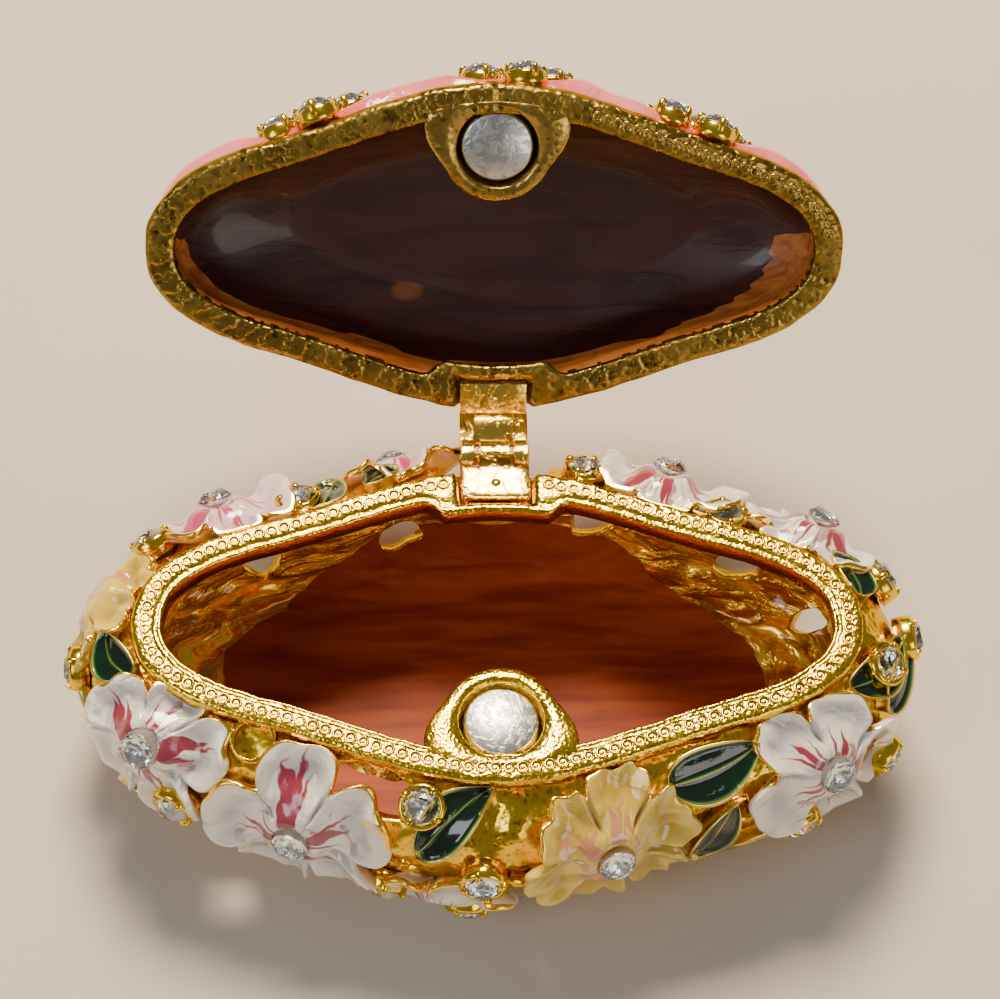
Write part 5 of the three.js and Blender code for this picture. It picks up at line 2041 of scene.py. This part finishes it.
@dataclass
class Hinge:
    """The brass hinge: a leaf with one knuckle, a leaf with two, their pin and rivets."""

    finishes: Finishes
    repeater: Repeater
    lid: Lid
    y: float = 17.65
    z: float = 16.0
    barrel: float = 1.7
    middle: float = 2.7
    outer: float = 1.3
    gap: float = 0.3
    leaf_width: float = 5.8
    leaf_length: float = 2.6
    thickness: float = 0.8
    rim_back: float = 14.7
    bore: float = 0.62
    ease: float = 0.15
    strap: float = 0.85

    def _knuckle(self, draft: Draft, x: float, width: float) -> None:
        """A turned knuckle along X with eased ends.

        Args:
            draft: The draft to add to.
            x: Its middle.
            width: Its width.
        """
        bore, radius, end, ease = self.bore, self.barrel, width / 2, self.ease
        profile = [(bore, -end), (radius - ease, -end), (radius, -end + ease),
                   (radius, end - ease), (radius - ease, end), (bore, end), (bore, -end)]
        place = Matrix.Translation((x, self.y, self.z)) @ Matrix.Rotation(math.pi / 2, 4, "Y")
        draft.grid(turned(lathe(profile, 40), place), wrap=True)

    @staticmethod
    def _plate(draft: Draft, x: float, width: float, outline: Profile) -> None:
        """A plate across X with an outline of y and z, with slightly eased ends.

        Args:
            draft: The draft to add to.
            x: Its middle.
            width: Its width.
            outline: Its corners in order.
        """
        corners = np.array(outline)
        centre = corners.mean(0)
        rings = []
        for end, share in ((-1, 0.0), (-1, 0.97), (-0.96, 1.0), (0.96, 1.0), (1, 0.97), (1, 0.0)):
            rings.append(np.column_stack([np.full(len(corners), x + end * width / 2),
                                          centre + (corners - centre) * share]))
        draft.grid(np.stack(rings), wrap=True)

    def leaf(self, side: int) -> bpy.types.Mesh:
        """A leaf on the closed hinge, in metres.

        Args:
            side: -1 for the basket's leaf with one knuckle, 1 for the lid's with two.

        Returns:
            Its mesh.
        """
        draft = Draft()
        level = self.lid.base if side > 0 else self.lid.belly.height
        face = level + side * self.gap
        far = face + side * self.thickness
        low, high = min(face, far), max(face, far)
        back = self.rim_back + 0.5
        rounded_box(draft, (-self.leaf_width / 2, self.rim_back - self.leaf_length, low),
                    (self.leaf_width / 2, back, high), 0.14)
        out = self.middle / 2 + self.gap + self.outer / 2
        knuckles = [(0.0, self.middle)] if side < 0 else [(-out, self.outer), (out, self.outer)]
        front, strap = back - 0.3, self.strap
        for x, width in knuckles:
            self._knuckle(draft, x, width)
            self._plate(draft, x, width, [
                (front, low), (self.y - strap, self.z + strap), (self.y + strap, self.z + strap),
                (back, high), (front, high)])
        if side > 0:
            self._plate(draft, 0.0, self.middle + 2 * self.gap + 0.04, [
                (front, low), (15.26, 19.16), (15.9, 18.62), (16.6, 18.3), (17.1, 18.04),
                (17.38, 18.06), (back, high), (front, high)])
        return draft.mesh("hinge_leaf")

    def build(self) -> None:
        """The leaves, the pin and the rivets."""
        brass, opened = self.finishes.brass, self.lid.opened()
        for side, body in ((-1, "base"), (1, "lid")):
            mesh = self.leaf(side)
            if body == "lid":
                mesh.transform(metres(opened))
            piece = make_piece(f"brass_{body}_leaf", mesh, [brass])
            mesh.set_sharp_from_angle(angle=math.radians(40))
            settle(piece, body, "hinge_brass", f"hinge_{body}_leaf")
        reach = self.middle / 2 + self.gap + self.outer
        pin = lathe_mesh("brass_pin", [
            (0.0, -reach - 0.12), (0.3, -reach - 0.08), (0.5, -reach + 0.05),
            (0.5, reach - 0.05), (0.3, reach + 0.08), (0.0, reach + 0.12)], 24)
        across = Matrix.Rotation(math.pi / 2, 4, "Y")
        pin.transform(metres(Matrix.Translation((0, self.y, self.z)) @ across))
        settle(make_piece("brass_pin", pin, [brass]), "base", "hinge_brass", "hinge_pin")
        rivet = lathe_mesh("rivet", [
            (0.0, -0.2), (0.42, -0.2), (0.42, 0.02), (0.3, 0.12), (0.0, 0.16)], 16)
        middle_y = self.rim_back - self.leaf_length / 2 + 0.1
        low = Matrix.Translation((0, middle_y, self.lid.belly.height - self.gap))
        high = opened @ Matrix.Translation((0, middle_y, self.lid.base + self.gap))
        high = high @ Matrix.Rotation(math.pi, 4, "X")
        for body, place in (("base", low), ("lid", high)):
            piece = self.repeater.make(f"{body}_leaf_rivet", carrier_mesh("places", [place]),
                                       rivet.copy(), brass)
            settle(piece, body, "hinge_brass", f"hinge_{body}_leaf")


@dataclass
class Catch:
    """The two disc magnets that meet at the front."""

    finishes: Finishes
    lid: Lid
    radius: float = 3.0
    height: float = 2.0
    recess: float = 0.35

    def build(self) -> None:
        """Both magnets, with eased edges."""
        r, h, y = self.radius, self.height, Lug().y
        profile = [(0.0, 0.0), (r - 0.12, 0.0), (r, 0.12), (r, h - 0.22), (r - 0.08, h - 0.08),
                   (r - 0.22, h), (0.0, h)]
        low = Matrix.Translation((0, y, self.lid.belly.height - self.recess - h))
        high = Matrix.Translation((0, y, self.lid.base + self.recess + h))
        high = self.lid.opened() @ (high @ Matrix.Rotation(math.pi, 4, "X"))
        for name, place, body in (("front_magnet", low, "base"), ("upper_magnet", high, "lid")):
            mesh = lathe_mesh(name, profile, 48)
            mesh.transform(metres(place))
            piece = make_piece(name, mesh, [self.finishes.magnet])
            settle(piece, body, "magnet", f"{body}_magnet")


# The studio.


@dataclass
class Studio:
    """A pale floor, soft light and the camera at the photograph's angle."""

    focal: float = 93.9
    distance: float = 220.0
    pitch: float = 57.4
    yaw: float = -4.0
    roll: float = 3.4
    target: tuple = (0.3, 11.61, 19.0)
    lit: tuple = (0, 0.01, 0.012)
    floor_half: float = 1.2

    def camera(self) -> None:
        """Places the camera."""
        e, yaw, roll = (math.radians(a) for a in (self.pitch, self.yaw, self.roll))
        back = Vector((math.sin(yaw) * math.cos(e), -math.cos(yaw) * math.cos(e), math.sin(e)))
        right = Vector((math.cos(yaw), math.sin(yaw), 0))
        up = back.cross(right)
        x = right * math.cos(roll) + up * math.sin(roll)
        y = -right * math.sin(roll) + up * math.cos(roll)
        place = Vector(self.target) + back * self.distance
        matrix = Matrix((x, y, back)).transposed().to_4x4()
        matrix.translation = place * MM
        data = bpy.data.cameras.new("view")
        data.lens, data.sensor_width, data.sensor_fit = self.focal, 36.0, "HORIZONTAL"
        data.clip_start = 0.005
        data.dof.use_dof = False
        made = bpy.data.objects.new("view", data)
        made.matrix_world = matrix
        bpy.context.scene.collection.objects.link(made)
        bpy.context.scene.camera = made

    def light(self, name: str, place: tuple, size: float, power: float, colour: tuple) -> None:
        """One soft square light aimed at the box.

        Args:
            name: Its name.
            place: Where it stands, in metres.
            size: Length of its side.
            power: Its power in watts.
            colour: Its colour.
        """
        data = bpy.data.lights.new(name, "AREA")
        data.shape, data.size, data.energy, data.color = "SQUARE", size, power, colour
        made = bpy.data.objects.new(name, data)
        made.location = place
        aim = Vector(self.lit) - Vector(place)
        made.rotation_euler = aim.to_track_quat("-Z", "Y").to_euler()
        bpy.context.scene.collection.objects.link(made)

    def build(self) -> None:
        """The floor, the lights, the world and the camera."""
        mesh = bpy.data.meshes.new("floor")
        w = self.floor_half
        mesh.from_pydata([(-w, -w, 0), (w, -w, 0), (w, w, 0), (-w, w, 0)], [], [(0, 1, 2, 3)])
        b = Bench("pale_floor", Roughness=0.8)
        cloud = b.group(Groups.CLOUD, Scale=14.0, Low=0.3, High=0.7,
                        Colour__A=(0.62, 0.55, 0.48, 1), Colour__B=(0.58, 0.51, 0.44, 1))
        b.feed("Base Color", cloud.outputs["Colour"])
        floor = make_piece("floor", mesh, [b.material])
        self.light("key", (-0.03, 0.32, 0.48), 0.20, 7.5, (1.0, 0.85, 0.62))
        self.light("fill", (-0.45, -0.30, 0.45), 0.30, 1.4, (0.88, 0.93, 1.0))
        self.light("front", (0.35, -0.45, 0.25), 0.30, 0.8, (1.0, 0.93, 0.84))
        world = bpy.data.worlds.new("studio")
        world.use_nodes = True
        sky = world.node_tree.nodes["Background"].inputs
        sky["Color"].default_value = (0.80, 0.78, 0.76, 1)
        sky["Strength"].default_value = 0.23
        bpy.context.scene.world = world
        self.camera()


def main() -> None:
    """Builds every piece in order."""
    logging.basicConfig(level=logging.INFO, format="%(name)s: %(message)s")
    finishes, repeater, belly = Finishes(), Repeater(), Belly()
    basket = Basket(belly, finishes, repeater)
    basket.casting()
    basket.beads()
    basket.lug()
    garland = Garland(belly, finishes)
    garland.flowers()
    garland.leaves()
    jewels = Jewels(finishes, repeater)
    spots = FLOWERS + COLLARED
    places = [belly.frame_at(s.u, s.v, s.top + 0.3, 0.7 * i) for i, s in enumerate(spots)]
    empty = [belly.frame_at(EMPTY.u, EMPTY.v, EMPTY.top - 0.1)]
    nodes = [f"body_stone_{i + 1:02d}" for i in range(len(spots))]
    jewels.set_stones("basket", "base", places, nodes, "basket_body",
                      places[len(FLOWERS):] + empty, width=0.42, lip=0.2)
    lid = Lid(belly, finishes, repeater)
    lid.casting()
    lid.fittings()
    lid_nodes = [f"rosette_{r}_stone_{i:02d}" for r in (1, 2, 3) for i in range(1, 7)]
    lid_nodes += ["lid_stone_01", "lid_stone_02"]
    lid_places = lid.settings()
    jewels.set_stones("lid", "lid", lid_places, lid_nodes, "lid_shell", lid_places,
                      width=0.26, lip=-0.1)
    Hinge(finishes, repeater, lid).build()
    Catch(finishes, lid).build()
    Studio().build()


if __name__ == "__main__":
    main()
